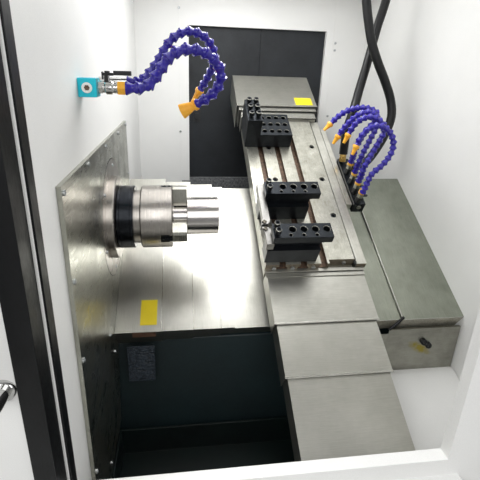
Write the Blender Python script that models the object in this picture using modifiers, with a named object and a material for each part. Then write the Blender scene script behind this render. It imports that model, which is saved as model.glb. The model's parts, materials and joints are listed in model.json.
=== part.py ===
"""Slant-bed CNC turning lathe with gang tooling, in metres, +Z up, standing on z = 0.

X runs along the spindle to the right, Y to the back. The slide, its covers and the
bed lie in a slope frame through the spindle axis: x along the spindle, s up the
slope to the back, n square to it. Slope pieces are modelled in x, s, n.
"""
import math

import bmesh
import bpy
from mathutils import Matrix, Vector

for old in list(bpy.data.objects):
    bpy.data.objects.remove(old, do_unlink=True)

# Running and seating gap between neighbouring solids
GAP = 0.0003

# Machine, enclosure and work area
LENGTH = 1.90
HEIGHT = 1.75
REAR_Y = 0.81
FRONT_Y = -0.71
PANEL = 0.02
FOOT_HEIGHT = 0.06
FOOT_RADIUS = 0.045
SKIRT_Z = 0.09
SPINDLE_Y = -0.18
SPINDLE_Z = 1.0
SLANT = math.radians(30)
WORK_LEFT = -0.23
SIDE_BAY = 0.185
WORK_RIGHT = LENGTH / 2 - SIDE_BAY
BACK_WALL_Y = 0.64
HATCH_X = (-0.010, 0.585)
HATCH_Z = (0.87, HEIGHT - 0.213)
HATCH_RIM = 0.030
HATCH_SHEET = 0.006
HATCH_SEAM_X = 0.297
DOORWAY_RIGHT = 0.45
SILL_Z = 0.70
LINTEL_Z = HEIGHT - 0.15

# Base casting and bed
BASE_FRONT_Y = -0.62
BASE_REAR_Y = 0.62
SHELF_Z = 0.30
SHELF_BACK_Y = -0.30
BASE_MARGIN_X = 0.03
REAR_STEP_Y = 0.42
REAR_STEP_Z = 0.62
BED_N = -0.262
BED_LOW_S = -0.232
BED_HIGH_S = 0.305
WAY_HEIGHT = 0.0265
WAY_WIDTH = 0.07
WAY_S = (-0.15, 0.235)
WAY_X = (-0.20, WORK_RIGHT + 0.065)

# Chip tray and chute
TRAY_RIGHT = 0.485
TRAY_DEPTH = 0.095
TRAY_WALL = 0.006
CHUTE_BACK_Z = 0.545
CHUTE_FRONT_Z = 0.400

# Spindle line, radii and lengths along the spindle
NOSE_BORE_R = 0.062
SPINDLE_R = 0.055
SPINDLE_TAIL_X = 0.05 - LENGTH / 2
CLAMP_CYLINDER_R = 0.095
CLAMP_CYLINDER_LENGTH = 0.12
HEADSTOCK_X = (-0.74, -0.27)
HEADSTOCK_HALF_S = 0.17
HEADSTOCK_TOP_N = 0.155
PLATE_THICKNESS = 0.008
PLATE_FRONT_Y = -0.60
PLATE_BACK_Y = 0.16
PLATE_BOTTOM_Z = 0.43
PLATE_TOP_Z = 1.206
NOSE_DISC_R = 0.155
NOSE_COVER_R = 0.108
NOSE_COVER_PROUD = 0.016
CHUCK_R = 0.0825
ADAPTER_LENGTH = 0.041
NECK_R = 0.070
NECK_LENGTH = 0.016
CHUCK_LENGTH = 0.080
JAW_LENGTH = 0.037
JAW_WIDTH = 0.036
JAW_INNER_R = 0.030
JAW_SLOT_WIDTH = 0.020
JAW_SLOT_DEPTH = 0.014
JAW_ANGLES = (5.5, 125.5, 245.5)
BAR_R = 0.050
BAR_LENGTH = 0.083

# Sheet-metal way covers
SHEET = 0.0015
LEVEL = 0.007
COVER_N = -0.180
COVER_LOW_S = -0.245
COVER_HIGH_S = 0.318
COVER_SKIRT_N = -0.243
LEFT_COVER_ENDS = (-0.102, -0.016, 0.059, 0.097)
LEFT_COVER_LENGTHS = (0.145, 0.125, 0.100)
RIGHT_COVER_START = 0.578
RIGHT_COVER_END = WORK_RIGHT + 0.067
RIGHT_COVER_LENGTH = 0.250

# Saddle, in x, s, n
SADDLE_X = (0.207, 0.454)
SADDLE_S = (-0.600, 0.798)
SADDLE_N = (-0.215, -0.1503)
CARRIAGE_X = (0.205, 0.456)
CARRIAGE_S = (-0.222, 0.300)
TROUGH_HALF = 0.040
TROUGH_N = -0.200
TROUGH_END = 0.018
RAIL_X = (0.4768, 0.4935)
RAIL_S = (0.020, 0.500)
RAIL_N = (-0.185, -0.116)

# Cross slide, T-slot plate and ballscrews
SLIDE_X = (0.186, 0.472)
SLIDE_S = (-0.110, 0.540)
SLIDE_N = (-0.150, -0.1153)
T_PLATE_X = (0.184, 0.444)
T_PLATE_TOP_N = -0.085
T_SLOT_X = (0.232, 0.293, 0.352)
T_NECK_WIDTH = 0.018
T_HEAD_WIDTH = 0.030
T_HEAD_HEIGHT = 0.010
T_SLOT_DEPTH = 0.022
BOLT_S = (-0.078, 0.132, 0.255, 0.372, 0.505)
BOLT_INSET = 0.014
COUNTERBORE_R = 0.009
COUNTERBORE_DEPTH = 0.012
X_SCREW_N = -0.167
X_SCREW_R = 0.010
Z_SCREW_S = 0.045
Z_SCREW_N = -0.240
Z_SCREW_R = 0.0125
SCREW_CLEARANCE = 0.0004
MOTOR_SIZE = 0.064
X_MOTOR_S = (0.640, 0.770)
Z_MOTOR_X = (WORK_RIGHT + 0.073, WORK_RIGHT + 0.160)

# X covers, in x, s, n
UPPER_BOX_X = (0.167, 0.483)
UPPER_BOX_S = (0.595, 0.800)
UPPER_BOX_N = (-0.168, -0.060)
UPPER_COVER_STARTS = (0.575, 0.5403)
UPPER_COVER_LENGTH = 0.190
LOWER_COVER_N = -0.115
LOWER_LEVEL = 0.006
LOWER_SKIRT = 0.062
LOWER_COVER_X = (0.189, 0.472)
LOWER_COVER_STARTS = (-0.268, -0.402, SADDLE_S[0] - SHEET - GAP)
LOWER_COVER_ENDS = (-0.1103, -0.248, -0.390)

# Tool blocks and turning tools
BLOCK_TOP_N = 0.030
FLANGE_N = 0.009
OVERHANG_DROP = 0.003
SEAT_N = -0.0253
BLOCK_X = (0.190, 0.350)
BLOCK_BASE_X = (0.180, 0.328)
BLOCK_NECK_LEFT = 0.196
BLOCK_DEPTH_S = 0.047
NEAR_BLOCK_S = -0.102
MIDDLE_BLOCK_S = 0.052
TOOL_HOLE_R = 0.0095
TOOL_HOLE_X = (0.2425, 0.2735, 0.3045, 0.3355)
SMALL_HOLE_R = 0.0035
SMALL_HOLE_X = (0.231, 0.270, 0.305)
CLAMP_SCREW_R = 0.008
CLAMP_SCREW_HEIGHT = 0.022
FAR_BLOCK_S = (0.382, 0.500)
FAR_BLOCK_X = (0.176, 0.226, 0.340)
FAR_BLOCK_LOW_N = -0.030
FAR_HOLE_R = 0.0085
FAR_SCREW_R = 0.009
FAR_SCREW_HEIGHT = 0.020
SHANK = 0.020
TOOL_ENDS_S = ((-0.041, -0.100), (-0.034, 0.118))

# Coolant manifold and hoses
MANIFOLD_X = (0.4955, 0.5305)
MANIFOLD_S = (0.073, 0.325)
MANIFOLD_N = (-0.111, -0.075)
MANIFOLD_FEET_S = (0.130, 0.270)
VALVE_S = (0.116, 0.163, 0.206, 0.253)
VALVE_R = 0.010
VALVE_HEIGHT = 0.040
HOSE_SMALL_R = 0.0105
HOSE_SMALL_PITCH = 0.0175
HOSE_LARGE_R = 0.0132
HOSE_LARGE_PITCH = 0.0190
NOZZLE_LENGTH = 3.2
FEED_HOSE_R = 0.0145
FITTING_R = 0.0125
FITTING_LENGTH = 0.022
SIDE_FITTING_S = 0.292
TOP_FITTING_S = 0.305
GLAND_R = 0.021
GLAND_DROP = 0.018

# Wall-mounted coolant valve
WALL_VALVE_Y = -0.39
WALL_VALVE_Z = 1.338
WALL_BLOCK = 0.034
VALVE_BODY_LENGTH = 0.038
VALVE_NUT_LENGTH = 0.013
UPPER_OUTLET_Y = 0.024
UPPER_OUTLET_Z = 0.011
STEM_HEIGHT = 0.0215

# Door and control panel
DOOR_X = (-0.945, -0.235)
DOOR_Z = (0.66, HEIGHT - 0.11)
DOOR_Y = (-0.752, -0.7135)
WINDOW_MARGIN = 0.13
GLASS = 0.008
TRACK = 0.022
HANDLE_R = 0.011
HANDLE_LENGTH = 0.34
HANDLE_Z = 1.14
CONSOLE_X = (LENGTH / 2 - 0.43, LENGTH / 2 - 0.05)
CONSOLE_Z = (HEIGHT - 0.71, HEIGHT - 0.21)
CONSOLE_Y = (-0.79, -0.738)
CONSOLE_AXIS = (CONSOLE_X[1] + 0.005, -0.7225)
CONSOLE_LUG_Z = (CONSOLE_Z[0] + 0.16, CONSOLE_Z[0] + 0.34)
CONSOLE_PIN_R = 0.005
CONSOLE_LUG_R = 0.010
CONSOLE_BRACKET = 0.03
STOP_BUTTON_R = 0.020
STOP_STEM_R = 0.011
STOP_TRAVEL = 0.005

model = bpy.data.collections.new("cnc_turning_lathe")
cutters = bpy.data.collections.new("cutters")
bpy.context.scene.collection.children.link(model)
bpy.context.scene.collection.children.link(cutters)


def make_empty(name, location, rotation):
    """An empty that carries pieces; it is not a piece itself."""
    empty = bpy.data.objects.new(name, None)
    empty.location = location
    empty.rotation_euler = rotation
    bpy.context.scene.collection.objects.link(empty)
    return empty


def principled(name, colour, roughness, metallic):
    """One Principled material with the piece's colour."""
    material = bpy.data.materials.new(name)
    material.use_nodes = True
    shader = material.node_tree.nodes["Principled BSDF"]
    shader.inputs["Base Color"].default_value = (*colour, 1.0)
    shader.inputs["Roughness"].default_value = roughness
    shader.inputs["Metallic"].default_value = metallic
    return material


STEEL = ((0.62, 0.61, 0.59), 0.32, 1.0)
POLISHED = ((0.72, 0.71, 0.70), 0.15, 1.0)
BLACK_OXIDE = ((0.03, 0.035, 0.04), 0.40, 0.8)
CAST = ((0.30, 0.33, 0.35), 0.60, 0.3)
WHITE_PAINT = ((0.80, 0.80, 0.79), 0.45, 0.0)
DARK_PAINT = ((0.02, 0.025, 0.03), 0.55, 0.0)
GREY_PAINT = ((0.20, 0.22, 0.24), 0.50, 0.0)
BLUE_PLASTIC = ((0.05, 0.03, 0.42), 0.35, 0.0)
BLACK_RUBBER = ((0.02, 0.02, 0.02), 0.60, 0.0)
RED_PLASTIC = ((0.60, 0.02, 0.02), 0.35, 0.0)
GLASS_TINT = ((0.75, 0.80, 0.80), 0.05, 0.0)
CYAN_PAINT = ((0.01, 0.50, 0.62), 0.40, 0.0)


def add_box(bm, low, high):
    """A box between two corners."""
    low = Vector(low)
    size = Vector(high) - low
    matrix = Matrix.Translation(low + size / 2) @ Matrix.Diagonal((*size, 1.0))
    bmesh.ops.create_cube(bm, size=1.0, matrix=matrix)


def add_rod(bm, start, end, radius, sides=24, end_radius=None):
    """A cylinder or cone from start to end."""
    start = Vector(start)
    axis = Vector(end) - start
    turn = axis.to_track_quat("Z", "Y").to_matrix().to_4x4()
    tip = radius if end_radius is None else end_radius
    bmesh.ops.create_cone(bm, cap_ends=True, segments=sides, radius1=radius, radius2=tip,
                          depth=axis.length, matrix=Matrix.Translation(start + axis / 2) @ turn)


def place(obj, finish, parent):
    """Give an object its material, its carrier and its collection."""
    if finish is None:
        cutters.objects.link(obj)
        obj.display_type = "WIRE"
        obj.hide_render = True
    else:
        model.objects.link(obj)
        obj.data.materials.append(principled(obj.name, *finish))
    obj.parent = parent
    return obj


def solid(name, boxes=(), rods=(), finish=None, parent=None):
    """An object made of boxes and rods."""
    bm = bmesh.new()
    for low, high in boxes:
        add_box(bm, low, high)
    for rod in rods:
        add_rod(bm, *rod)
    mesh = bpy.data.meshes.new(name)
    bm.to_mesh(mesh)
    bm.free()
    return place(bpy.data.objects.new(name, mesh), finish, parent)


def prism(name, outline, low, high, turn, finish=None, parent=None):
    """A flat outline from a filled 2D curve, extruded between low and high along its normal."""
    curve = bpy.data.curves.new(name, "CURVE")
    curve.dimensions = "2D"
    curve.fill_mode = "BOTH"
    curve.extrude = (high - low) / 2
    spline = curve.splines.new("POLY")
    spline.points.add(len(outline) - 1)
    for point, (u, v) in zip(spline.points, outline):
        point.co = (u, v, 0.0, 1.0)
    spline.use_cyclic_u = True
    guide = bpy.data.objects.new(name + "_outline", curve)
    bpy.context.scene.collection.objects.link(guide)
    bpy.context.view_layer.update()
    evaluated = guide.evaluated_get(bpy.context.evaluated_depsgraph_get())
    mesh = bpy.data.meshes.new_from_object(evaluated)
    bpy.data.objects.remove(guide, do_unlink=True)
    bm = bmesh.new()
    bm.from_mesh(mesh)
    bmesh.ops.remove_doubles(bm, verts=bm.verts, dist=0.00001)
    bmesh.ops.dissolve_limit(bm, angle_limit=0.001, verts=bm.verts, edges=bm.edges)
    bm.transform(turn @ Matrix.Translation((0, 0, (low + high) / 2)))
    bmesh.ops.recalc_face_normals(bm, faces=bm.faces)
    bm.to_mesh(mesh)
    bm.free()
    mesh.materials.clear()
    return place(bpy.data.objects.new(name, mesh), finish, parent)


# Turns an outline drawn in (y, z) so that it is extruded along x
ALONG_X = Matrix(((0, 0, 1, 0), (1, 0, 0, 0), (0, 1, 0, 0), (0, 0, 0, 1)))
# Turns an outline drawn in (x, n) so that it is extruded along s
ALONG_S = Matrix(((1, 0, 0, 0), (0, 0, -1, 0), (0, 1, 0, 0), (0, 0, 0, 1)))


def turned(name, profile, steps=48, finish=None, parent=None, location=(0, 0, 0)):
    """A turned piece: profile points (radius, height) from the top centre down the outside."""
    bm = bmesh.new()
    verts = [bm.verts.new((radius, 0.0, height)) for radius, height in profile]
    closed = profile[0][0] > 0
    for first, second in zip(verts, verts[1:] + verts[:1] if closed else verts[1:]):
        bm.edges.new((first, second))
    mesh = bpy.data.meshes.new(name)
    bm.to_mesh(mesh)
    bm.free()
    obj = place(bpy.data.objects.new(name, mesh), finish, parent)
    obj.location = location
    screw = obj.modifiers.new("turn", "SCREW")
    screw.steps = steps
    screw.render_steps = steps
    screw.use_merge_vertices = True
    screw.merge_threshold = 0.00001
    screw.use_normal_calculate = False
    return obj


def boolean(target, tool, operation="DIFFERENCE"):
    """Cut a tool out of the target, or join it on."""
    modifier = target.modifiers.new(operation.lower(), "BOOLEAN")
    modifier.operation = operation
    modifier.solver = "EXACT"
    modifier.object = tool
    return target


def bevel(obj, width, segments=1):
    """Break the sharp edges of a piece."""
    modifier = obj.modifiers.new("edges", "BEVEL")
    modifier.width = width
    modifier.segments = segments
    modifier.limit_method = "ANGLE"
    return obj


def cover(name, x_span, s_span, top_n, skirt_n, lips, finish, parent, along="X"):
    """One folded sheet of a telescopic cover: a top, two skirts and a turned-down lip per end.

    The lips are the depths at the low and high end of the travel direction; a depth as
    deep as the skirts closes that end, and a depth of 0 leaves it open.
    """
    travel, across = (x_span, s_span) if along == "X" else (s_span, x_span)

    def at(t, c, n):
        return (t, c, n) if along == "X" else (c, t, n)

    bm = bmesh.new()
    low_c, high_c = across
    rows = {}
    for end, lip in zip(travel, lips):
        depths = [top_n] + ([top_n - lip] if 0 < lip < top_n - skirt_n else []) + [skirt_n]
        rows[end] = [[bm.verts.new(at(end, c, n)) for n in depths] for c in (low_c, high_c)]
    first, last = (rows[end] for end in travel)
    bm.faces.new((first[0][0], last[0][0], last[1][0], first[1][0]))
    for side in (0, 1):
        bm.faces.new(first[side] + last[side][::-1])
    for row, lip in ((first, lips[0]), (last, lips[1])):
        if lip > 0:
            bm.faces.new((row[0][0], row[1][0], row[1][1], row[0][1]))
    bmesh.ops.recalc_face_normals(bm, faces=bm.faces)
    if next(face for face in bm.faces if abs(face.normal.z) > 0.9).normal.z < 0:
        bmesh.ops.reverse_faces(bm, faces=bm.faces)
    mesh = bpy.data.meshes.new(name)
    bm.to_mesh(mesh)
    bm.free()
    obj = place(bpy.data.objects.new(name, mesh), finish, parent)
    shell = obj.modifiers.new("sheet", "SOLIDIFY")
    shell.thickness = SHEET
    shell.offset = -1.0
    shell.use_even_offset = True
    return obj


def smooth_route(points, spacing):
    """Points at an even spacing along a smooth curve through the route's own points."""
    knots = [Vector(p) for p in points]
    knots = [2 * knots[0] - knots[1]] + knots + [2 * knots[-1] - knots[-2]]
    fine = []
    for a, b, c, d in zip(knots, knots[1:], knots[2:], knots[3:]):
        for step in range(20):
            t = step / 20
            fine.append(0.5 * (2 * b + (c - a) * t + (2 * a - 5 * b + 4 * c - d) * t * t
                               + (3 * b - a - 3 * c + d) * t ** 3))
    fine.append(knots[-2])
    lengths = [0.0]
    for one, two in zip(fine, fine[1:]):
        lengths.append(lengths[-1] + (two - one).length)
    count = max(2, round(lengths[-1] / spacing))
    even = []
    index = 0
    for number in range(count + 1):
        wanted = lengths[-1] * number / count
        while index < len(fine) - 2 and lengths[index + 1] < wanted:
            index += 1
        part = (wanted - lengths[index]) / (lengths[index + 1] - lengths[index])
        even.append(fine[index].lerp(fine[index + 1], min(max(part, 0.0), 1.0)))
    return even


def swept(name, points, radii, finish, parent, resolution=2):
    """A round bar along points, with its own radius at each of them."""
    curve = bpy.data.curves.new(name, "CURVE")
    curve.dimensions = "3D"
    curve.bevel_depth = 1.0
    curve.bevel_resolution = resolution
    curve.use_fill_caps = True
    spline = curve.splines.new("POLY")
    spline.points.add(len(points) - 1)
    for point, place_at, radius in zip(spline.points, points, radii):
        point.co = (*place_at, 1.0)
        point.radius = radius
    return place(bpy.data.objects.new(name, curve), finish, parent)


def segmented_hose(name, route, radius, pitch):
    """A ball-and-socket hose with its nozzle: each segment flares to its socket rim."""
    spine = smooth_route(route, pitch)
    nozzle_length = NOZZLE_LENGTH * radius
    points = []
    radii = []
    for one, two in zip(spine, spine[1:]):
        points += [one.lerp(two, 0.02), one.lerp(two, 0.80)]
        radii += [radius * 0.74, radius]
    direction = (spine[-1] - spine[-2]).normalized()
    for distance, share in ((0.05, 0.85), (0.45, 0.70), (1.0, 0.30)):
        points.append(spine[-1] + direction * nozzle_length * distance)
        radii.append(radius * share)
    return swept(name, points, radii, BLUE_PLASTIC, None)


def slope(s, n):
    """World y and z of a point in the slope frame."""
    return (SPINDLE_Y + s * math.cos(SLANT) - n * math.sin(SLANT),
            SPINDLE_Z + s * math.sin(SLANT) + n * math.cos(SLANT))


slope_frame = make_empty("slope_frame", (0, SPINDLE_Y, SPINDLE_Z), (SLANT, 0, 0))
# Local z of this frame runs along the spindle, to the right
spindle_frame = make_empty("spindle_axis", (0, SPINDLE_Y, SPINDLE_Z), (0, math.radians(90), 0))


def bed_outline(grow):
    """The base's section in (y, z) from the shelf up over the bed, grown by a gap."""
    return [(SHELF_BACK_Y - grow, SHELF_Z + grow),
            slope(BED_LOW_S - grow, BED_N + grow),
            slope(BED_HIGH_S + grow, BED_N + grow),
            (REAR_STEP_Y + grow, REAR_STEP_Z + grow)]


def make_base():
    """Cast base with the slanted bed, its ways, the screw's end bearing and the feet."""
    half = LENGTH / 2 - BASE_MARGIN_X
    outline = [(BASE_FRONT_Y, FOOT_HEIGHT), (BASE_FRONT_Y, SHELF_Z)] + bed_outline(0)
    outline += [(BASE_REAR_Y, SHELF_Z), (BASE_REAR_Y, FOOT_HEIGHT)]
    base = prism("base_casting", outline, -half, half, ALONG_X, CAST)
    ways = solid("bed_ways", parent=slope_frame, boxes=[
        ((WAY_X[0], s - WAY_WIDTH / 2, BED_N - 0.01),
         (WAY_X[1], s + WAY_WIDTH / 2, BED_N + WAY_HEIGHT)) for s in WAY_S])
    boolean(base, ways, "UNION")
    bearing_x = WAY_X[0]
    boolean(base, solid("screw_bearing", parent=slope_frame, boxes=[
        ((bearing_x, Z_SCREW_S - 0.03, BED_N - 0.01), (bearing_x + 0.03, Z_SCREW_S + 0.03, -0.2185))]),
        "UNION")
    reach = 2 * BASE_MARGIN_X + FOOT_RADIUS
    feet = [(x, y) for x in (-half + reach, 0, half - reach)
            for y in (BASE_FRONT_Y + reach, BASE_REAR_Y - reach)]
    boolean(base, solid("feet", rods=[
        ((x, y, 0), (x, y, FOOT_HEIGHT + 0.01), FOOT_RADIUS, 16, FOOT_RADIUS * 0.7)
        for x, y in feet]), "UNION")
    boolean(base, solid("bearing_bore", parent=slope_frame, rods=[
        ((bearing_x - 0.01, Z_SCREW_S, Z_SCREW_N), (bearing_x + 0.04, Z_SCREW_S, Z_SCREW_N),
         Z_SCREW_R + SCREW_CLEARANCE)]))


def make_headstock():
    """Headstock casting that seats on the bed, bored for the spindle."""
    head = solid("headstock", finish=CAST, parent=slope_frame, boxes=[
        ((HEADSTOCK_X[0], -HEADSTOCK_HALF_S, BED_N + GAP),
         (HEADSTOCK_X[1], HEADSTOCK_HALF_S, HEADSTOCK_TOP_N))])
    bevel(head, 0.03)
    ribs = [((x, -HEADSTOCK_HALF_S - 0.02, BED_N + GAP), (x + 0.02, HEADSTOCK_HALF_S + 0.02, -0.06))
            for x in (HEADSTOCK_X[0] + 0.09, HEADSTOCK_X[0] + 0.23, HEADSTOCK_X[0] + 0.36)]
    boolean(head, solid("headstock_ribs", boxes=ribs, parent=slope_frame), "UNION")
    boolean(head, solid("headstock_bore", parent=slope_frame, rods=[
        ((HEADSTOCK_X[0] - 0.01, 0, 0), (HEADSTOCK_X[1] + 0.01, 0, 0), SPINDLE_R + GAP, 32)]))


def make_spindle():
    """Spindle with its clamping cylinder, adapter, chuck, jaws and the bar in it."""
    face = WORK_LEFT + PLATE_THICKNESS + NOSE_COVER_PROUD - 0.0003
    nose = face + GAP
    tail = SPINDLE_TAIL_X
    cylinder = tail + CLAMP_CYLINDER_LENGTH
    turned("spindle", [
        (0, nose), (NOSE_BORE_R - 0.004, nose), (NOSE_BORE_R - 0.004, HEADSTOCK_X[1] + 0.006),
        (SPINDLE_R + 0.02, HEADSTOCK_X[1] + 0.006), (SPINDLE_R + 0.02, HEADSTOCK_X[1] + GAP),
        (SPINDLE_R, HEADSTOCK_X[1] + GAP), (SPINDLE_R, HEADSTOCK_X[0] - GAP),
        (SPINDLE_R + 0.02, HEADSTOCK_X[0] - GAP), (SPINDLE_R + 0.02, HEADSTOCK_X[0] - 0.02),
        (SPINDLE_R * 0.6, HEADSTOCK_X[0] - 0.02), (SPINDLE_R * 0.6, cylinder),
        (CLAMP_CYLINDER_R, cylinder), (CLAMP_CYLINDER_R, tail + 0.04),
        (CLAMP_CYLINDER_R * 0.7, tail + 0.04), (CLAMP_CYLINDER_R * 0.7, tail), (0, tail),
    ], steps=24, finish=STEEL, parent=spindle_frame)
    ring_end = nose + GAP + ADAPTER_LENGTH
    neck_end = ring_end + NECK_LENGTH
    turned("chuck_adapter", [
        (0, neck_end), (NECK_R, neck_end), (NECK_R, ring_end + 0.002), (NECK_R - 0.003, ring_end),
        (CHUCK_R - 0.002, ring_end), (CHUCK_R, ring_end - 0.002), (CHUCK_R, nose + GAP + 0.002),
        (CHUCK_R - 0.002, nose + GAP), (0, nose + GAP),
    ], finish=BLACK_OXIDE, parent=spindle_frame)
    back = neck_end + GAP
    front = back + CHUCK_LENGTH
    body = turned("chuck_body", [
        (0, front), (CHUCK_R - 0.003, front), (CHUCK_R, front - 0.003),
        (CHUCK_R, back + 0.006), (CHUCK_R - 0.006, back), (0, back),
    ], finish=POLISHED, parent=spindle_frame)
    slot = solid("jaw_slots", parent=spindle_frame)
    bm = bmesh.new()
    for angle in JAW_ANGLES:
        one = bmesh.new()
        add_box(one, (0.012, -JAW_SLOT_WIDTH / 2, front - JAW_SLOT_DEPTH),
                (0.1, JAW_SLOT_WIDTH / 2, front + 0.01))
        one.transform(Matrix.Rotation(jaw_turn(angle), 4, "Z"))
        piece = bpy.data.meshes.new("jaw_slot")
        one.to_mesh(piece)
        one.free()
        bm.from_mesh(piece)
    bm.to_mesh(slot.data)
    bm.free()
    boolean(body, slot)
    for number, angle in enumerate(JAW_ANGLES, 1):
        jaw = prism(f"chuck_jaw_{number}", [
            (JAW_INNER_R + GAP, -JAW_WIDTH * 0.28), (JAW_INNER_R + GAP + 0.012, -JAW_WIDTH / 2),
            (CHUCK_R - 0.006, -JAW_WIDTH / 2), (CHUCK_R - 0.001, -JAW_WIDTH * 0.3),
            (CHUCK_R - 0.001, JAW_WIDTH * 0.3), (CHUCK_R - 0.006, JAW_WIDTH / 2),
            (JAW_INNER_R + GAP + 0.012, JAW_WIDTH / 2), (JAW_INNER_R + GAP, JAW_WIDTH * 0.28)],
            front + GAP, front + GAP + JAW_LENGTH, Matrix.Identity(4), POLISHED, spindle_frame)
        jaw.rotation_euler = (0, 0, jaw_turn(angle))
        tongue = solid(f"jaw_tongue_{number}", parent=spindle_frame, boxes=[
            ((0.036, -JAW_SLOT_WIDTH / 2 + GAP, front - JAW_SLOT_DEPTH + GAP),
             (CHUCK_R - 0.003, JAW_SLOT_WIDTH / 2 - GAP, front + 0.005))])
        tongue.rotation_euler = (0, 0, jaw_turn(angle))
        boolean(jaw, tongue, "UNION")
    jaw_face = front + GAP + JAW_LENGTH
    turned("workpiece_bar", [
        (0, jaw_face + GAP + BAR_LENGTH), (BAR_R - 0.001, jaw_face + GAP + BAR_LENGTH),
        (BAR_R, jaw_face + GAP + BAR_LENGTH - 0.001), (BAR_R, jaw_face + GAP + 0.001),
        (BAR_R - 0.001, jaw_face + GAP), (JAW_INNER_R - 0.0005, jaw_face + GAP),
        (JAW_INNER_R - 0.0005, front + 0.002), (0, front + 0.002),
    ], finish=POLISHED, parent=spindle_frame)


def jaw_turn(angle):
    """Turn about the spindle's local z for a jaw at an angle from straight up to the back."""
    return math.radians(180 - angle)


def make_bulkhead():
    """Polished splash plate on the left wall, with the nose cover in its hole."""
    low, high = WORK_LEFT + GAP, WORK_LEFT + PLATE_THICKNESS
    back_s = (PLATE_BACK_Y - SPINDLE_Y + (BED_N + GAP) * math.sin(SLANT)) / math.cos(SLANT)
    plate = prism("bulkhead_plate", [
        (PLATE_FRONT_Y, PLATE_BOTTOM_Z), (SHELF_BACK_Y - GAP, PLATE_BOTTOM_Z), bed_outline(GAP)[1],
        slope(back_s, BED_N + GAP), (PLATE_BACK_Y, PLATE_TOP_Z), (PLATE_FRONT_Y, PLATE_TOP_Z)],
        low, high, ALONG_X, POLISHED)
    boolean(plate, solid("nose_hole", rods=[
        ((low - 0.01, SPINDLE_Y, SPINDLE_Z), (high + 0.01, SPINDLE_Y, SPINDLE_Z), NOSE_DISC_R + GAP, 48)]))
    face = high + NOSE_COVER_PROUD - 0.0003
    turned("nose_cover", [
        (NOSE_BORE_R, face), (NOSE_COVER_R - 0.0015, face), (NOSE_COVER_R, face - 0.0015),
        (NOSE_COVER_R, high), (NOSE_DISC_R, high), (NOSE_DISC_R, low), (NOSE_BORE_R, low),
    ], finish=POLISHED, parent=spindle_frame)


def make_walls():
    """Painted inner walls of the work area, cut to the bed, and the dark rear hatch."""
    front = FRONT_Y + 0.0253
    top = HEIGHT - PANEL - GAP
    left = prism("left_wall", [
        (front, SHELF_Z + 0.10), (SHELF_BACK_Y - GAP, SHELF_Z + 0.10)] + bed_outline(GAP)[1:]
        + [(BACK_WALL_Y - GAP, REAR_STEP_Z + GAP), (BACK_WALL_Y - GAP, top), (front, top)],
        WORK_LEFT - PANEL, WORK_LEFT, ALONG_X, WHITE_PAINT)
    boolean(left, solid("spindle_hole", rods=[
        ((WORK_LEFT - PANEL - 0.01, SPINDLE_Y, SPINDLE_Z),
         (WORK_LEFT + 0.01, SPINDLE_Y, SPINDLE_Z), 0.10, 32)]))
    prism("right_wall", [
        (front, SHELF_Z + 0.10), (SHELF_BACK_Y - GAP, SHELF_Z + 0.10),
        slope(COVER_LOW_S - GAP, BED_N), slope(COVER_LOW_S - GAP, COVER_N + GAP),
        slope(COVER_HIGH_S + GAP, COVER_N + GAP), slope(COVER_HIGH_S + GAP, COVER_SKIRT_N)]
        + bed_outline(GAP)[3:]
        + [(BACK_WALL_Y - GAP, REAR_STEP_Z + GAP), (BACK_WALL_Y - GAP, top), (front, top)],
        WORK_RIGHT, WORK_RIGHT + PANEL, ALONG_X, WHITE_PAINT)
    back = solid("back_wall", finish=WHITE_PAINT, boxes=[
        ((WORK_LEFT - PANEL, BACK_WALL_Y, 0.40), (WORK_RIGHT + PANEL, BACK_WALL_Y + PANEL, top))])
    low_x, high_x = HATCH_X
    low_z, high_z = HATCH_Z
    boolean(back, solid("hatch_opening", boxes=[
        ((low_x, BACK_WALL_Y - 0.01, low_z), (high_x, BACK_WALL_Y + PANEL + 0.01, high_z))]))
    hatch_y = BACK_WALL_Y + PANEL + GAP
    rim = HATCH_RIM
    hatch = solid("rear_hatch", finish=DARK_PAINT, boxes=[
        ((low_x - rim, hatch_y, low_z - rim), (high_x + rim, hatch_y + HATCH_SHEET, high_z + rim))])
    boolean(hatch, solid("hatch_seam", boxes=[
        ((HATCH_SEAM_X, hatch_y - 0.01, low_z - rim - 0.01),
         (HATCH_SEAM_X + 0.003, hatch_y + HATCH_SHEET / 2, high_z + rim + 0.01))]))


def make_trays():
    """Chip tray on the base's front shelf and the sloping chute at its right."""
    back = SHELF_BACK_Y - 0.004
    front = BASE_FRONT_Y - 0.05
    tray = solid("chip_tray", finish=DARK_PAINT, boxes=[
        ((WORK_LEFT + 0.002, front, SHELF_Z + GAP), (TRAY_RIGHT, back, SHELF_Z + TRAY_DEPTH))])
    boolean(tray, solid("tray_hollow", boxes=[
        ((WORK_LEFT + 0.002 + TRAY_WALL, front + TRAY_WALL, SHELF_Z + 0.008),
         (TRAY_RIGHT - TRAY_WALL, back - TRAY_WALL, SHELF_Z + TRAY_DEPTH + 0.01))]))
    prism("chip_chute", [
        (front, SHELF_Z + GAP), (back, SHELF_Z + GAP), (back, CHUTE_BACK_Z),
        (back - 0.02, CHUTE_BACK_Z), (front, CHUTE_FRONT_Z)],
        TRAY_RIGHT + 0.001, WORK_RIGHT - 0.002, ALONG_X, WHITE_PAINT)


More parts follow.
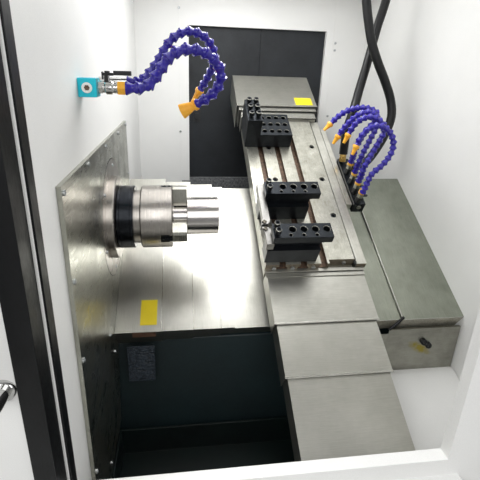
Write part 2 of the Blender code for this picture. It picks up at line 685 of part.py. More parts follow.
def make_z_covers():
    """Telescopic covers over the bed, left and right of the saddle."""
    start = WORK_LEFT + PLATE_THICKNESS + GAP
    spans = [(start, LEFT_COVER_ENDS[0])]
    spans += [(end - length, end) for end, length in zip(LEFT_COVER_ENDS[1:3], LEFT_COVER_LENGTHS)]
    lip = LEVEL - GAP
    for number, span in enumerate(spans):
        drop = number * LEVEL
        cover(f"left_cover_{number + 1}", span, (COVER_LOW_S + drop / 2, COVER_HIGH_S - drop),
              COVER_N - drop, COVER_SKIRT_N, (0, lip), STEEL, slope_frame)
    drop = 3 * LEVEL
    end = LEFT_COVER_ENDS[3]
    last = cover("left_cover_4", (end - LEFT_COVER_LENGTHS[2], end),
                 (COVER_LOW_S + drop / 2, COVER_HIGH_S - drop), COVER_N - drop, COVER_SKIRT_N + 0.002,
                 (0, LEVEL), STEEL, slope_frame)
    boolean(last, cover("last_step", (end - SHEET / 2, CARRIAGE_X[0] - GAP),
                        (COVER_LOW_S + drop / 2 + 0.0005, COVER_HIGH_S - drop - 0.0005),
                        COVER_N - drop - LEVEL + 0.0005, COVER_SKIRT_N + 0.0025, (0, 0.011),
                        None, slope_frame), "UNION")
    cover("right_cover_1", (RIGHT_COVER_START, RIGHT_COVER_END), (COVER_LOW_S, COVER_HIGH_S),
          COVER_N, COVER_SKIRT_N, (lip, 0), STEEL, slope_frame)
    cover("right_cover_2", (CARRIAGE_X[1] + GAP, CARRIAGE_X[1] + RIGHT_COVER_LENGTH),
          (COVER_LOW_S + LEVEL / 2, COVER_HIGH_S - LEVEL), COVER_N - LEVEL, COVER_SKIRT_N,
          (0.026, 0), STEEL, slope_frame)


def make_saddle():
    """Saddle on the bed ways, with the trough for the cross screw."""
    middle = (SADDLE_X[0] + SADDLE_X[1]) / 2
    way_top = BED_N + WAY_HEIGHT
    saddle = solid("saddle", finish=CAST, parent=slope_frame, boxes=[
        ((SADDLE_X[0], SADDLE_S[0], SADDLE_N[0]), (SADDLE_X[1], SADDLE_S[1], SADDLE_N[1]))])
    boolean(saddle, solid("carriage", parent=slope_frame, boxes=[
        ((CARRIAGE_X[0], CARRIAGE_S[0], way_top + GAP),
         (CARRIAGE_X[1], CARRIAGE_S[1], SADDLE_N[0] + 0.02))]), "UNION")
    root = SADDLE_X[1] - 0.001
    ledge = SADDLE_N[1] - 0.003
    boolean(saddle, prism("side_rail", [
        (root, RAIL_N[0]), (RAIL_X[1], RAIL_N[0]), (RAIL_X[1], RAIL_N[1]), (RAIL_X[0], RAIL_N[1]),
        (RAIL_X[0], ledge), (root, ledge)], -RAIL_S[1], -RAIL_S[0], ALONG_S, parent=slope_frame), "UNION")
    boolean(saddle, solid("trough", parent=slope_frame, boxes=[
        ((middle - TROUGH_HALF, SADDLE_S[0] + TROUGH_END, TROUGH_N),
         (middle + TROUGH_HALF, SADDLE_S[1] - TROUGH_END, SADDLE_N[1] + 0.01))]))
    screw_end = SADDLE_S[0] + TROUGH_END
    boolean(saddle, solid("x_screw_pocket", parent=slope_frame, rods=[
        ((middle, screw_end - 0.012, X_SCREW_N), (middle, screw_end + 0.01, X_SCREW_N),
         X_SCREW_R + SCREW_CLEARANCE)]))
    boolean(saddle, solid("z_screw_channel", parent=slope_frame, boxes=[
        ((CARRIAGE_X[0] - 0.01, Z_SCREW_S - 0.03, way_top - 0.01),
         (CARRIAGE_X[1] + 0.01, Z_SCREW_S + 0.03, SADDLE_N[0] + 0.001))]))
    boolean(saddle, solid("z_nut", parent=slope_frame, boxes=[
        ((middle - 0.03, Z_SCREW_S - 0.022, BED_N + 0.003),
         (middle + 0.03, Z_SCREW_S + 0.022, SADDLE_N[0] + 0.01))]), "UNION")
    boolean(saddle, solid("z_nut_bore", parent=slope_frame, rods=[
        ((middle - 0.04, Z_SCREW_S, Z_SCREW_N), (middle + 0.04, Z_SCREW_S, Z_SCREW_N),
         Z_SCREW_R + SCREW_CLEARANCE)]))
    inner = SHEET + GAP
    boolean(saddle, solid("cover_brackets", parent=slope_frame, boxes=[
        ((UPPER_BOX_X[0] + inner, UPPER_BOX_S[1] - 0.014, SADDLE_N[0] + 0.004),
         (UPPER_BOX_X[1] - inner, UPPER_BOX_S[1] - inner, UPPER_BOX_N[1] - inner))]), "UNION")
    solid("x_motor", finish=BLACK_OXIDE, parent=slope_frame, boxes=[
        ((middle - MOTOR_SIZE / 2, X_MOTOR_S[0], TROUGH_N + GAP),
         (middle + MOTOR_SIZE / 2, X_MOTOR_S[1], TROUGH_N + GAP + MOTOR_SIZE))])
    solid("x_screw", finish=STEEL, parent=slope_frame, rods=[
        ((middle, screw_end - 0.0115, X_SCREW_N), (middle, X_MOTOR_S[0] - GAP, X_SCREW_N), X_SCREW_R)])
    solid("z_motor", finish=BLACK_OXIDE, parent=slope_frame, boxes=[
        ((Z_MOTOR_X[0], Z_SCREW_S - MOTOR_SIZE / 2, BED_N + GAP),
         (Z_MOTOR_X[1], Z_SCREW_S + MOTOR_SIZE / 2, BED_N + GAP + MOTOR_SIZE))])
    solid("z_screw", finish=STEEL, parent=slope_frame, rods=[
        ((WAY_X[0], Z_SCREW_S, Z_SCREW_N), (Z_MOTOR_X[0] - GAP, Z_SCREW_S, Z_SCREW_N), Z_SCREW_R)])


def make_x_covers():
    """Covers above and below the cross slide; the upper ones collapse into a fixed box."""
    lip = LEVEL - GAP
    low, high = UPPER_BOX_X
    cover("upper_cover_1", UPPER_BOX_X, UPPER_BOX_S, UPPER_BOX_N[1], UPPER_BOX_N[0],
          (lip, UPPER_BOX_N[1] - UPPER_BOX_N[0]), STEEL, slope_frame, "S")
    for number, (start, depth) in enumerate(zip(UPPER_COVER_STARTS, (lip, 0.034)), 1):
        drop = number * LEVEL
        cover(f"upper_cover_{number + 1}", (low + drop, high - drop),
              (start, start + UPPER_COVER_LENGTH), UPPER_BOX_N[1] - drop, SLIDE_N[0] + 0.002 * number,
              (depth, 0), STEEL, slope_frame, "S")
    low, high = LOWER_COVER_X
    lips = ((LOWER_LEVEL - GAP, 0.030), (LOWER_LEVEL - GAP, 0), (SADDLE_N[1] - SADDLE_N[0], 0))
    for number, (start, end) in enumerate(zip(LOWER_COVER_STARTS, LOWER_COVER_ENDS)):
        drop = number * LOWER_LEVEL
        top = LOWER_COVER_N - drop
        cover(f"lower_cover_{number + 1}", (low + drop, high - drop), (start, end),
              top, top - LOWER_SKIRT, lips[number], STEEL, slope_frame, "S")


def make_slide():
    """Cross slide on the saddle, with the T-slot plate bolted on it."""
    middle = (SADDLE_X[0] + SADDLE_X[1]) / 2
    slide = solid("cross_slide", finish=STEEL, parent=slope_frame, boxes=[
        ((SLIDE_X[0], SLIDE_S[0], SLIDE_N[0]), (SLIDE_X[1], SLIDE_S[1], SLIDE_N[1]))])
    boolean(slide, solid("x_nut", parent=slope_frame, boxes=[
        ((middle - 0.022, 0.17, TROUGH_N + 0.008), (middle + 0.022, 0.24, SLIDE_N[0] + 0.01))]), "UNION")
    boolean(slide, solid("x_nut_bore", parent=slope_frame, rods=[
        ((middle, 0.16, X_SCREW_N), (middle, 0.25, X_SCREW_N), X_SCREW_R + SCREW_CLEARANCE)]))
    bottom = SLIDE_N[1] + GAP
    top = T_PLATE_TOP_N
    plate = solid("t_slot_plate", finish=STEEL, parent=slope_frame, boxes=[
        ((T_PLATE_X[0], SLIDE_S[0], bottom), (T_PLATE_X[1], SLIDE_S[1], top))])
    floor = top - T_SLOT_DEPTH
    outlines = [[(x - T_NECK_WIDTH / 2, top + 0.01), (x - T_NECK_WIDTH / 2, floor + T_HEAD_HEIGHT),
                 (x - T_HEAD_WIDTH / 2, floor + T_HEAD_HEIGHT), (x - T_HEAD_WIDTH / 2, floor),
                 (x + T_HEAD_WIDTH / 2, floor), (x + T_HEAD_WIDTH / 2, floor + T_HEAD_HEIGHT),
                 (x + T_NECK_WIDTH / 2, floor + T_HEAD_HEIGHT), (x + T_NECK_WIDTH / 2, top + 0.01)]
                for x in T_SLOT_X]
    for number, outline in enumerate(outlines, 1):
        boolean(plate, prism(f"t_slot_{number}", outline, -SLIDE_S[1] - 0.01, -SLIDE_S[0] + 0.01, ALONG_S,
                             parent=slope_frame))
    columns = (T_PLATE_X[0] + BOLT_INSET, T_PLATE_X[1] - 0.030)
    boolean(plate, solid("counterbores", parent=slope_frame, rods=[
        ((x, s, top - COUNTERBORE_DEPTH), (x, s, top + 0.01), COUNTERBORE_R, 12)
        for x in columns for s in BOLT_S]))


def make_tool_block(name, low_s, hole_rows):
    """A tool block of C section, open to the left for the tool's shank, bored in its top."""
    foot = T_PLATE_TOP_N + GAP
    block = prism(name, [
        (BLOCK_BASE_X[0], foot), (BLOCK_BASE_X[1], foot), (BLOCK_BASE_X[1], FLANGE_N - OVERHANG_DROP),
        (BLOCK_X[1], FLANGE_N - OVERHANG_DROP), (BLOCK_X[1], BLOCK_TOP_N), (BLOCK_X[0], BLOCK_TOP_N),
        (BLOCK_X[0], FLANGE_N), (BLOCK_NECK_LEFT, FLANGE_N), (BLOCK_NECK_LEFT, SEAT_N),
        (BLOCK_BASE_X[0], SEAT_N)],
        -low_s - BLOCK_DEPTH_S, -low_s, ALONG_S, BLACK_OXIDE, slope_frame)
    holes = [((x, low_s + s, BLOCK_TOP_N - depth), (x, low_s + s, BLOCK_TOP_N + 0.01), radius, 12)
             for x, s, radius, depth in hole_rows]
    boolean(block, solid(name + "_holes", rods=holes, parent=slope_frame))
    screw_x = BLOCK_X[0] + 0.010
    screws = [((screw_x, low_s + s, BLOCK_TOP_N - 0.004),
               (screw_x, low_s + s, BLOCK_TOP_N + CLAMP_SCREW_HEIGHT), CLAMP_SCREW_R, 12)
              for s in (0.012, 0.034)]
    boolean(block, solid(name + "_screws", rods=screws, parent=slope_frame), "UNION")
    return block


def make_blocks():
    """The three gang tool blocks and the two square-shank tools."""
    big = [(x, BLOCK_DEPTH_S / 2 + 0.004, TOOL_HOLE_R, 0.020) for x in TOOL_HOLE_X]
    small = [(x, 0.008, SMALL_HOLE_R, 0.012) for x in SMALL_HOLE_X]
    make_tool_block("tool_block_1", NEAR_BLOCK_S, big + small)
    make_tool_block("tool_block_2", MIDDLE_BLOCK_S, big + small)
    left, step, right = FAR_BLOCK_X
    foot = T_PLATE_TOP_N + GAP
    far = prism("tool_block_3", [
        (left, foot), (right, foot), (right, FAR_BLOCK_LOW_N), (step, FAR_BLOCK_LOW_N),
        (step, BLOCK_TOP_N), (left, BLOCK_TOP_N)],
        -FAR_BLOCK_S[1], -FAR_BLOCK_S[0], ALONG_S, BLACK_OXIDE, slope_frame)
    rows = [FAR_BLOCK_S[0] + d for d in (0.021, 0.059, 0.097)]
    columns = [step + d for d in (0.018, 0.044, 0.070, 0.096)]
    boolean(far, solid("far_block_holes", parent=slope_frame, rods=[
        ((x, s, FAR_BLOCK_LOW_N - 0.016), (x, s, FAR_BLOCK_LOW_N + 0.01), FAR_HOLE_R, 10)
        for x in columns for s in rows]))
    boolean(far, solid("far_block_screws", parent=slope_frame, rods=[
        ((x, s, BLOCK_TOP_N - 0.004), (x, s, BLOCK_TOP_N + FAR_SCREW_HEIGHT), FAR_SCREW_R, 10)
        for x in (left + 0.013, left + 0.037) for s in rows]), "UNION")
    side = BLOCK_NECK_LEFT - GAP
    for number, (nose, tail) in enumerate(TOOL_ENDS_S, 1):
        tip = 1 if nose > tail else -1
        prism(f"turning_tool_{number}", [
            (side - SHANK, tail), (side, tail), (side, nose - tip * 0.012),
            (side - SHANK * 0.4, nose - tip * 0.002), (side - SHANK - 0.006, nose),
            (side - SHANK - 0.004, nose - tip * 0.012), (side - SHANK, nose - tip * 0.022)],
            SEAT_N + GAP, SEAT_N + GAP + 0.025, Matrix.Identity(4), STEEL, slope_frame)


def make_coolant():
    """Manifold with four valved ball-and-socket hoses, and the wall valve with two larger ones."""
    bar = solid("coolant_manifold", finish=BLACK_OXIDE, parent=slope_frame, boxes=[
        ((MANIFOLD_X[0], MANIFOLD_S[0], MANIFOLD_N[0]), (MANIFOLD_X[1], MANIFOLD_S[1], MANIFOLD_N[1]))])
    bevel(bar, 0.002)
    middle = sum(MANIFOLD_X) / 2
    boolean(bar, solid("manifold_feet", parent=slope_frame, boxes=[
        ((RAIL_X[1] + GAP, s - 0.015, RAIL_N[0] + 0.035),
         (RAIL_X[1] + 0.008, s + 0.015, MANIFOLD_N[0] + 0.01))
        for s in MANIFOLD_FEET_S]), "UNION")
    valve_top = MANIFOLD_N[1] + VALVE_HEIGHT
    boolean(bar, solid("manifold_valves", parent=slope_frame, rods=[
        ((middle + 0.004, s, MANIFOLD_N[1] - 0.005), (middle + 0.004, s, valve_top), VALVE_R, 12)
        for s in VALVE_S]), "UNION")
    side_y, side_z = slope(SIDE_FITTING_S, sum(MANIFOLD_N) / 2)
    top_y, top_z = slope(TOP_FITTING_S, MANIFOLD_N[1])
    boolean(bar, solid("side_fitting", rods=[
        ((MANIFOLD_X[1] - 0.004, side_y, side_z), (MANIFOLD_X[1] + FITTING_LENGTH, side_y, side_z),
         FITTING_R, 12)]), "UNION")
    boolean(bar, solid("top_fitting", rods=[
        ((middle, top_y, top_z - 0.012), (middle, top_y, top_z + FITTING_LENGTH), FITTING_R, 12)]), "UNION")
    for number, route in enumerate(NOZZLE_ROUTES, 1):
        y, z = slope(VALVE_S[number - 1], valve_top + GAP)
        y2, z2 = slope(VALVE_S[number - 1], valve_top + GAP + HOSE_SMALL_PITCH)
        start = [(middle + 0.004, y, z), (middle + 0.004, y2, z2)]
        segmented_hose(f"coolant_hose_{number}", start + route, HOSE_SMALL_R, HOSE_SMALL_PITCH)
    half = WALL_BLOCK / 2
    block_end = WORK_LEFT + WALL_BLOCK
    valve_end = block_end + VALVE_BODY_LENGTH
    nut_end = valve_end + VALVE_NUT_LENGTH
    y, z = WALL_VALVE_Y, WALL_VALVE_Z
    valve = solid("coolant_valve", finish=CYAN_PAINT, boxes=[
        ((WORK_LEFT + GAP, y - half, z - half), (block_end, y + half, z + half))])
    boolean(valve, solid("valve_body", rods=[
        ((block_end - 0.005, y, z), (valve_end, y, z), 0.011, 16)]), "UNION")
    boolean(valve, solid("valve_nut", rods=[
        ((valve_end - 0.002, y, z), (nut_end, y, z), 0.0135, 6)]), "UNION")
    boolean(valve, solid("valve_stem", rods=[
        ((block_end + 0.018, y, z), (block_end + 0.018, y, z + STEM_HEIGHT), 0.004, 12)]), "UNION")
    outlet_y = y + UPPER_OUTLET_Y
    outlet_z = z + UPPER_OUTLET_Z
    boolean(valve, solid("upper_outlet", rods=[
        ((block_end - 0.002, outlet_y, outlet_z), (nut_end, outlet_y, outlet_z), 0.009, 12)]), "UNION")
    lever_z = z + STEM_HEIGHT + GAP
    solid("valve_lever", finish=BLACK_OXIDE, boxes=[
        ((block_end + 0.010, y - 0.006, lever_z), (block_end + 0.062, y + 0.006, lever_z + 0.005))])
    exit_x = nut_end + GAP
    large = [(exit_x, y, z), (exit_x + HOSE_LARGE_PITCH, y, z)]
    small = [(exit_x, outlet_y, outlet_z), (exit_x + HOSE_SMALL_PITCH, outlet_y, outlet_z)]
    segmented_hose("left_hose_1", large + LEFT_ROUTE, HOSE_LARGE_R, HOSE_LARGE_PITCH)
    segmented_hose("left_hose_2", small + UPPER_LEFT_ROUTE, HOSE_SMALL_R, HOSE_SMALL_PITCH)


def make_feed_hoses():
    """Two hanging feed hoses from glands in the roof to the manifold's fittings, plain tubes."""
    roof = HEIGHT - PANEL - GLAND_DROP - GAP
    for number, (route, end) in enumerate(zip(FEED_ROUTES, feed_ends()), 1):
        x, y = route[0][:2]
        approach, seat = end
        points = [(x, y, roof)] + smooth_route([(x, y, roof - 0.02)] + route + [approach], 0.03) + [seat]
        swept(f"feed_hose_{number}", points, [FEED_HOSE_R] * len(points), BLACK_RUBBER, None)


def feed_ends():
    """The last points of the feed hoses, straight into the side and the top fitting."""
    middle = sum(MANIFOLD_X) / 2
    side_y, side_z = slope(SIDE_FITTING_S, sum(MANIFOLD_N) / 2)
    side_x = MANIFOLD_X[1] + FITTING_LENGTH + GAP
    top_y, top_z = slope(TOP_FITTING_S, MANIFOLD_N[1])
    top_z += FITTING_LENGTH + GAP
    return ([(side_x + 0.02, side_y, side_z), (side_x, side_y, side_z)],
            [(middle, top_y, top_z + 0.02), (middle, top_y, top_z)])


def make_enclosure():
    """Sheet-metal enclosure: front panel with the doorway and door tracks, hood and rear panel."""
    top = HEIGHT - PANEL - GAP
    half = LENGTH / 2
    back = FRONT_Y + PANEL + 0.005
    front = solid("front_panel", finish=WHITE_PAINT, boxes=[
        ((-half + PANEL + GAP, FRONT_Y, SKIRT_Z), (half - PANEL - GAP, back, top))])
    boolean(front, solid("doorway", boxes=[
        ((WORK_LEFT, FRONT_Y - 0.01, SILL_Z), (DOORWAY_RIGHT, back + 0.01, LINTEL_Z))]))
    for name, z in (("upper_track", DOOR_Z[1] + GAP), ("lower_track", DOOR_Z[0] - TRACK - GAP)):
        boolean(front, solid(name, boxes=[
            ((-half + PANEL + GAP, DOOR_Y[0], z),
             (DOORWAY_RIGHT + 0.03, FRONT_Y + 0.005, z + TRACK))]), "UNION")
    pin_x, pin_y = CONSOLE_AXIS
    low, high = CONSOLE_LUG_Z
    brackets = [((pin_x - CONSOLE_LUG_R, pin_y - CONSOLE_LUG_R, z),
                 (pin_x + CONSOLE_LUG_R, FRONT_Y + 0.005, z + CONSOLE_BRACKET))
                for z in (low - GAP - CONSOLE_BRACKET, high + GAP)]
    boolean(front, solid("console_brackets", boxes=brackets), "UNION")
    boolean(front, solid("console_pin", rods=[
        ((pin_x, pin_y, low - 0.01), (pin_x, pin_y, high + 0.01), CONSOLE_PIN_R, 12)]), "UNION")
    hood = solid("enclosure_hood", finish=WHITE_PAINT, boxes=[
        ((-half, FRONT_Y, SKIRT_Z), (half, REAR_Y - PANEL - GAP, HEIGHT))])
    boolean(hood, solid("hood_hollow", boxes=[
        ((-half + PANEL, FRONT_Y - 0.01, SKIRT_Z - 0.01), (half - PANEL, REAR_Y, HEIGHT - PANEL))]))
    boolean(hood, solid("hose_glands", rods=[
        ((*route[0][:2], HEIGHT - PANEL - GLAND_DROP), (*route[0][:2], HEIGHT - PANEL + 0.005), GLAND_R, 12)
        for route in FEED_ROUTES]), "UNION")
    solid("rear_panel", finish=WHITE_PAINT, boxes=[
        ((-half, REAR_Y - PANEL, SKIRT_Z), (half, REAR_Y, HEIGHT))])


def make_door():
    """Sliding door, open at rest, with its window and bar handle."""
    door = solid("door", finish=WHITE_PAINT, boxes=[
        ((DOOR_X[0], DOOR_Y[0], DOOR_Z[0]), (DOOR_X[1], DOOR_Y[1], DOOR_Z[1]))])
    low = (DOOR_X[0] + WINDOW_MARGIN, DOOR_Z[0] + 0.33)
    high = (DOOR_X[1] - WINDOW_MARGIN, DOOR_Z[1] - 0.12)
    boolean(door, solid("window_opening", boxes=[
        ((low[0], DOOR_Y[0] - 0.01, low[1]), (high[0], DOOR_Y[1] + 0.01, high[1]))]))
    middle = sum(DOOR_Y) / 2
    solid("door_window", finish=GLASS_TINT, boxes=[
        ((low[0] + GAP, middle - GLASS / 2, low[1] + GAP),
         (high[0] - GAP, middle + GLASS / 2, high[1] - GAP))])
    x = DOOR_X[1] - 0.045
    reach = REAR_Y - HANDLE_R
    root = DOOR_Y[0] - GAP
    half_grip = HANDLE_LENGTH / 2
    corner = [(root, 0.0), (-reach + 0.014, 0.0), (-reach + 0.004, 0.004), (-reach, 0.014)]
    lower = [(x, y, HANDLE_Z - half_grip + rise) for y, rise in corner]
    upper = [(x, y, HANDLE_Z + half_grip - rise) for y, rise in reversed(corner)]
    swept("door_handle", lower + upper, [HANDLE_R] * 8, STEEL, None)


def make_console():
    """Swivelling control panel at the right of the doorway, on its hinge lug, with its stop button."""
    console = solid("control_panel", finish=GREY_PAINT, boxes=[
        ((CONSOLE_X[0], CONSOLE_Y[0], CONSOLE_Z[0]), (CONSOLE_X[1], CONSOLE_Y[1], CONSOLE_Z[1]))])
    bevel(console, 0.006)
    pin_x, pin_y = CONSOLE_AXIS
    low, high = CONSOLE_LUG_Z
    boolean(console, solid("console_web", boxes=[
        ((pin_x - 0.03, CONSOLE_Y[1] - 0.004, low), (pin_x, pin_y + 0.006, high))]), "UNION")
    boolean(console, solid("console_lug", rods=[
        ((pin_x, pin_y, low), (pin_x, pin_y, high), CONSOLE_LUG_R, 16)]), "UNION")
    boolean(console, solid("console_bore", rods=[
        ((pin_x, pin_y, low - 0.01), (pin_x, pin_y, high + 0.01), CONSOLE_PIN_R + GAP, 12)]))
    x, z = CONSOLE_X[0] + 0.06, CONSOLE_Z[0] + 0.06
    face = CONSOLE_Y[0]
    boolean(console, solid("stop_button_hole", rods=[
        ((x, face - 0.01, z), (x, face + 0.016 + STOP_TRAVEL + 0.001, z), STOP_STEM_R + GAP)]))
    rim = STOP_TRAVEL + 0.001
    button = turned("stop_button", [
        (0, rim + 0.0085), (STOP_BUTTON_R * 0.6, rim + 0.0075), (STOP_BUTTON_R, rim + 0.003),
        (STOP_BUTTON_R, rim),
        (STOP_STEM_R, rim), (STOP_STEM_R, -0.016), (0, -0.016)], steps=24, finish=RED_PLASTIC)
    button.location = (x, face, z)
    button.rotation_euler = (math.radians(90), 0, 0)


NOZZLE_ROUTES = [
    [(0.524, -0.085, 1.090), (0.553, -0.085, 1.118), (0.574, -0.085, 1.150), (0.579, -0.085, 1.182),
     (0.566, -0.085, 1.212), (0.545, -0.085, 1.230), (0.520, -0.085, 1.236), (0.494, -0.085, 1.226),
     (0.476, -0.085, 1.206), (0.465, -0.085, 1.178)],
    [(0.512, -0.055, 1.105), (0.529, -0.050, 1.136), (0.548, -0.045, 1.172), (0.562, -0.045, 1.205),
     (0.560, -0.045, 1.232), (0.538, -0.045, 1.249), (0.512, -0.045, 1.256), (0.486, -0.045, 1.248),
     (0.466, -0.045, 1.230), (0.453, -0.045, 1.204)],
    [(0.514, -0.016, 1.122), (0.529, -0.010, 1.155), (0.547, -0.005, 1.193), (0.561, -0.002, 1.228),
     (0.556, 0.0, 1.252), (0.534, 0.0, 1.265), (0.508, 0.0, 1.262), (0.478, 0.0, 1.243),
     (0.456, 0.0, 1.218), (0.440, 0.0, 1.192)],
    [(0.509, 0.022, 1.140), (0.524, 0.028, 1.172), (0.545, 0.032, 1.208), (0.570, 0.035, 1.236),
     (0.574, 0.036, 1.258), (0.545, 0.036, 1.272), (0.512, 0.036, 1.274), (0.476, 0.034, 1.266),
     (0.446, 0.032, 1.248), (0.422, 0.030, 1.225)],
]
FEED_ROUTES = [
    [(0.545, 0.195, 1.66), (0.556, 0.190, 1.59), (0.570, 0.182, 1.527), (0.585, 0.172, 1.470),
     (0.610, 0.160, 1.410), (0.640, 0.150, 1.352), (0.664, 0.139, 1.294), (0.670, 0.126, 1.240),
     (0.655, 0.120, 1.182), (0.630, 0.119, 1.128), (0.603, 0.119, 1.086)],
    [(0.655, 0.245, 1.66), (0.642, 0.242, 1.59), (0.626, 0.236, 1.529), (0.612, 0.226, 1.471),
     (0.592, 0.206, 1.400), (0.563, 0.170, 1.330), (0.535, 0.130, 1.268), (0.5145, 0.119, 1.195)],
]
UPPER_LEFT_ROUTE = [
    (-0.117, -0.357, 1.353), (-0.099, -0.344, 1.372), (-0.083, -0.336, 1.395), (-0.069, -0.332, 1.419),
    (-0.048, -0.325, 1.439), (-0.022, -0.318, 1.447), (0.004, -0.310, 1.440), (0.022, -0.299, 1.422),
    (0.030, -0.284, 1.399), (0.024, -0.271, 1.374), (0.012, -0.258, 1.349), (0.001, -0.249, 1.331)]
LEFT_ROUTE = [
    (-0.112, -0.386, 1.340), (-0.100, -0.381, 1.347), (-0.086, -0.377, 1.365), (-0.073, -0.372, 1.385),
    (-0.056, -0.366, 1.403), (-0.030, -0.358, 1.412), (0.000, -0.348, 1.409), (0.024, -0.338, 1.396),
    (0.040, -0.330, 1.374), (0.037, -0.321, 1.345), (0.018, -0.312, 1.321), (-0.008, -0.303, 1.305)]


make_base()
make_headstock()
make_spindle()
make_bulkhead()
make_walls()
make_trays()
make_z_covers()
make_saddle()
make_x_covers()
make_slide()
make_blocks()
make_coolant()
make_feed_hoses()
make_enclosure()
make_door()
make_console()
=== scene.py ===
"""Looks of a slant-bed CNC turning lathe with gang tooling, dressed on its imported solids."""
import json
import math

import bmesh
import bpy
from mathutils import Matrix, Vector


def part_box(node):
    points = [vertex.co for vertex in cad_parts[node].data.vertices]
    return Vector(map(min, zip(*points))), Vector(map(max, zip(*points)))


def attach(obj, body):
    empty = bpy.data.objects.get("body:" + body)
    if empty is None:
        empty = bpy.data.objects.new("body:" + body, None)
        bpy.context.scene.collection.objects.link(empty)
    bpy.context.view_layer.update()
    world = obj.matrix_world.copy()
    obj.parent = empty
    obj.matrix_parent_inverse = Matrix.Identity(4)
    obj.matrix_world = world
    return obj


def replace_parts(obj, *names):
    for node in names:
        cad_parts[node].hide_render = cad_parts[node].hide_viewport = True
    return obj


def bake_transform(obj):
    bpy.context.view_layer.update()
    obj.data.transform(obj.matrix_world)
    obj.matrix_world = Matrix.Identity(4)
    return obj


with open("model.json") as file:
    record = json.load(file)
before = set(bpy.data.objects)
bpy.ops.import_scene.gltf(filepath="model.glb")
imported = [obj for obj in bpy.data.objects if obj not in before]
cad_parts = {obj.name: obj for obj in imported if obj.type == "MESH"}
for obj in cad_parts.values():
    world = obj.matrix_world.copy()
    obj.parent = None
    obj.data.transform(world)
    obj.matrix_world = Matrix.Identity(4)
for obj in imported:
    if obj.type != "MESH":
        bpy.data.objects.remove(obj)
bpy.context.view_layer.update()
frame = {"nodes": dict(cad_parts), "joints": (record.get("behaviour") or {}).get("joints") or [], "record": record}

# Camera: the photographer stood before the open doorway and held the camera a little above
# the spindle, looking down into the machine. The picture's own middle lies below the frame's.
photo_camera = bpy.data.cameras.new("photo_camera")
photo_camera.sensor_width = 36.0
photo_camera.lens = 30.3
photo_camera.shift_x = 0.009
photo_camera.shift_y = -0.055
photographer = bpy.data.objects.new("photographer", photo_camera)
bpy.context.scene.collection.objects.link(photographer)
look = Vector((0.128, 0.930, -0.343)).normalized()
side = Vector((0.992, -0.124, 0.033))
side = (side - look * side.dot(look)).normalized()
photographer.matrix_world = Matrix.Translation((-0.04, -1.21, 1.3846)) @ Matrix(
    (side, side.cross(look), -look)).transposed().to_4x4()
bpy.context.scene.camera = photographer


# Feed hoses: two black rubber hoses that hang from glands in the roof and push on the manifold's
# fittings. They leave the roof with the casing and end on the saddle.
def srgb(code):
    """Linear colour of an sRGB hex value."""
    parts = [int(code[i:i + 2], 16) / 255 for i in (1, 3, 5)]
    return [p / 12.92 if p <= 0.04045 else ((p + 0.055) / 1.055) ** 2.4 for p in parts] + [1.0]


def add_node(tree, kind, values=(), links=(), **settings):
    """Add a shader node with its own settings, its socket values and the links into it."""
    node = tree.nodes.new("ShaderNode" + kind)
    for option, value in settings.items():
        setattr(node, option, value)
    for socket, value in dict(values).items():
        node.inputs[socket].default_value = value
    for socket, source in dict(links).items():
        tree.links.new(source, node.inputs[socket])
    return node


def surface(name, light, dark, roughness, metallic=0.0, grain_mm=(1, 1, 1), patch_mm=80,
            relief_mm=0.02, tilt=0.0, **sockets):
    """A real surface: colour and sheen drift over patches and follow a fine grain with relief.

    grain_mm is the length of the grain along x, y and z, or along x, s and n when tilted.
    """
    material = bpy.data.materials.new(name)
    material.use_nodes = True
    tree = material.node_tree
    shader = tree.nodes["Principled BSDF"]
    shader.inputs["Metallic"].default_value = metallic
    for socket, value in sockets.items():
        shader.inputs[socket.replace("_", " ").title().replace("Ior", "IOR")].default_value = value
    place = add_node(tree, "TexCoord").outputs["Object"]
    grain = add_node(tree, "Mapping", {"Rotation": (tilt, 0, 0), "Scale": [mm / 1000 for mm in grain_mm]},
                     {"Vector": place}, vector_type="TEXTURE")
    fine = add_node(tree, "TexNoise", {"Scale": 1.0, "Detail": 3.0, "Roughness": 0.6},
                    {"Vector": grain.outputs["Vector"]})
    broad = add_node(tree, "TexNoise", {"Scale": 1000 / patch_mm, "Detail": 4.0, "Roughness": 0.65},
                     {"Vector": place})
    both = add_node(tree, "Math", {}, {0: fine.outputs["Fac"], 1: broad.outputs["Fac"]}, operation="ADD")
    mix = add_node(tree, "MapRange", {"From Min": 0.7, "From Max": 1.3}, {"Value": both.outputs[0]})
    colour = add_node(tree, "Mix", {6: srgb(dark), 7: srgb(light)}, {0: mix.outputs["Result"]},
                      data_type="RGBA")
    sheen = add_node(tree, "MapRange", {"To Min": roughness[1], "To Max": roughness[0]},
                     {"Value": mix.outputs["Result"]})
    relief = add_node(tree, "Bump", {"Strength": 0.6, "Distance": relief_mm / 1000},
                      {"Height": fine.outputs["Fac"]})
    tree.links.new(colour.outputs[2], shader.inputs["Base Color"])
    tree.links.new(sheen.outputs["Result"], shader.inputs["Roughness"])
    tree.links.new(relief.outputs["Normal"], shader.inputs["Normal"])
    return material


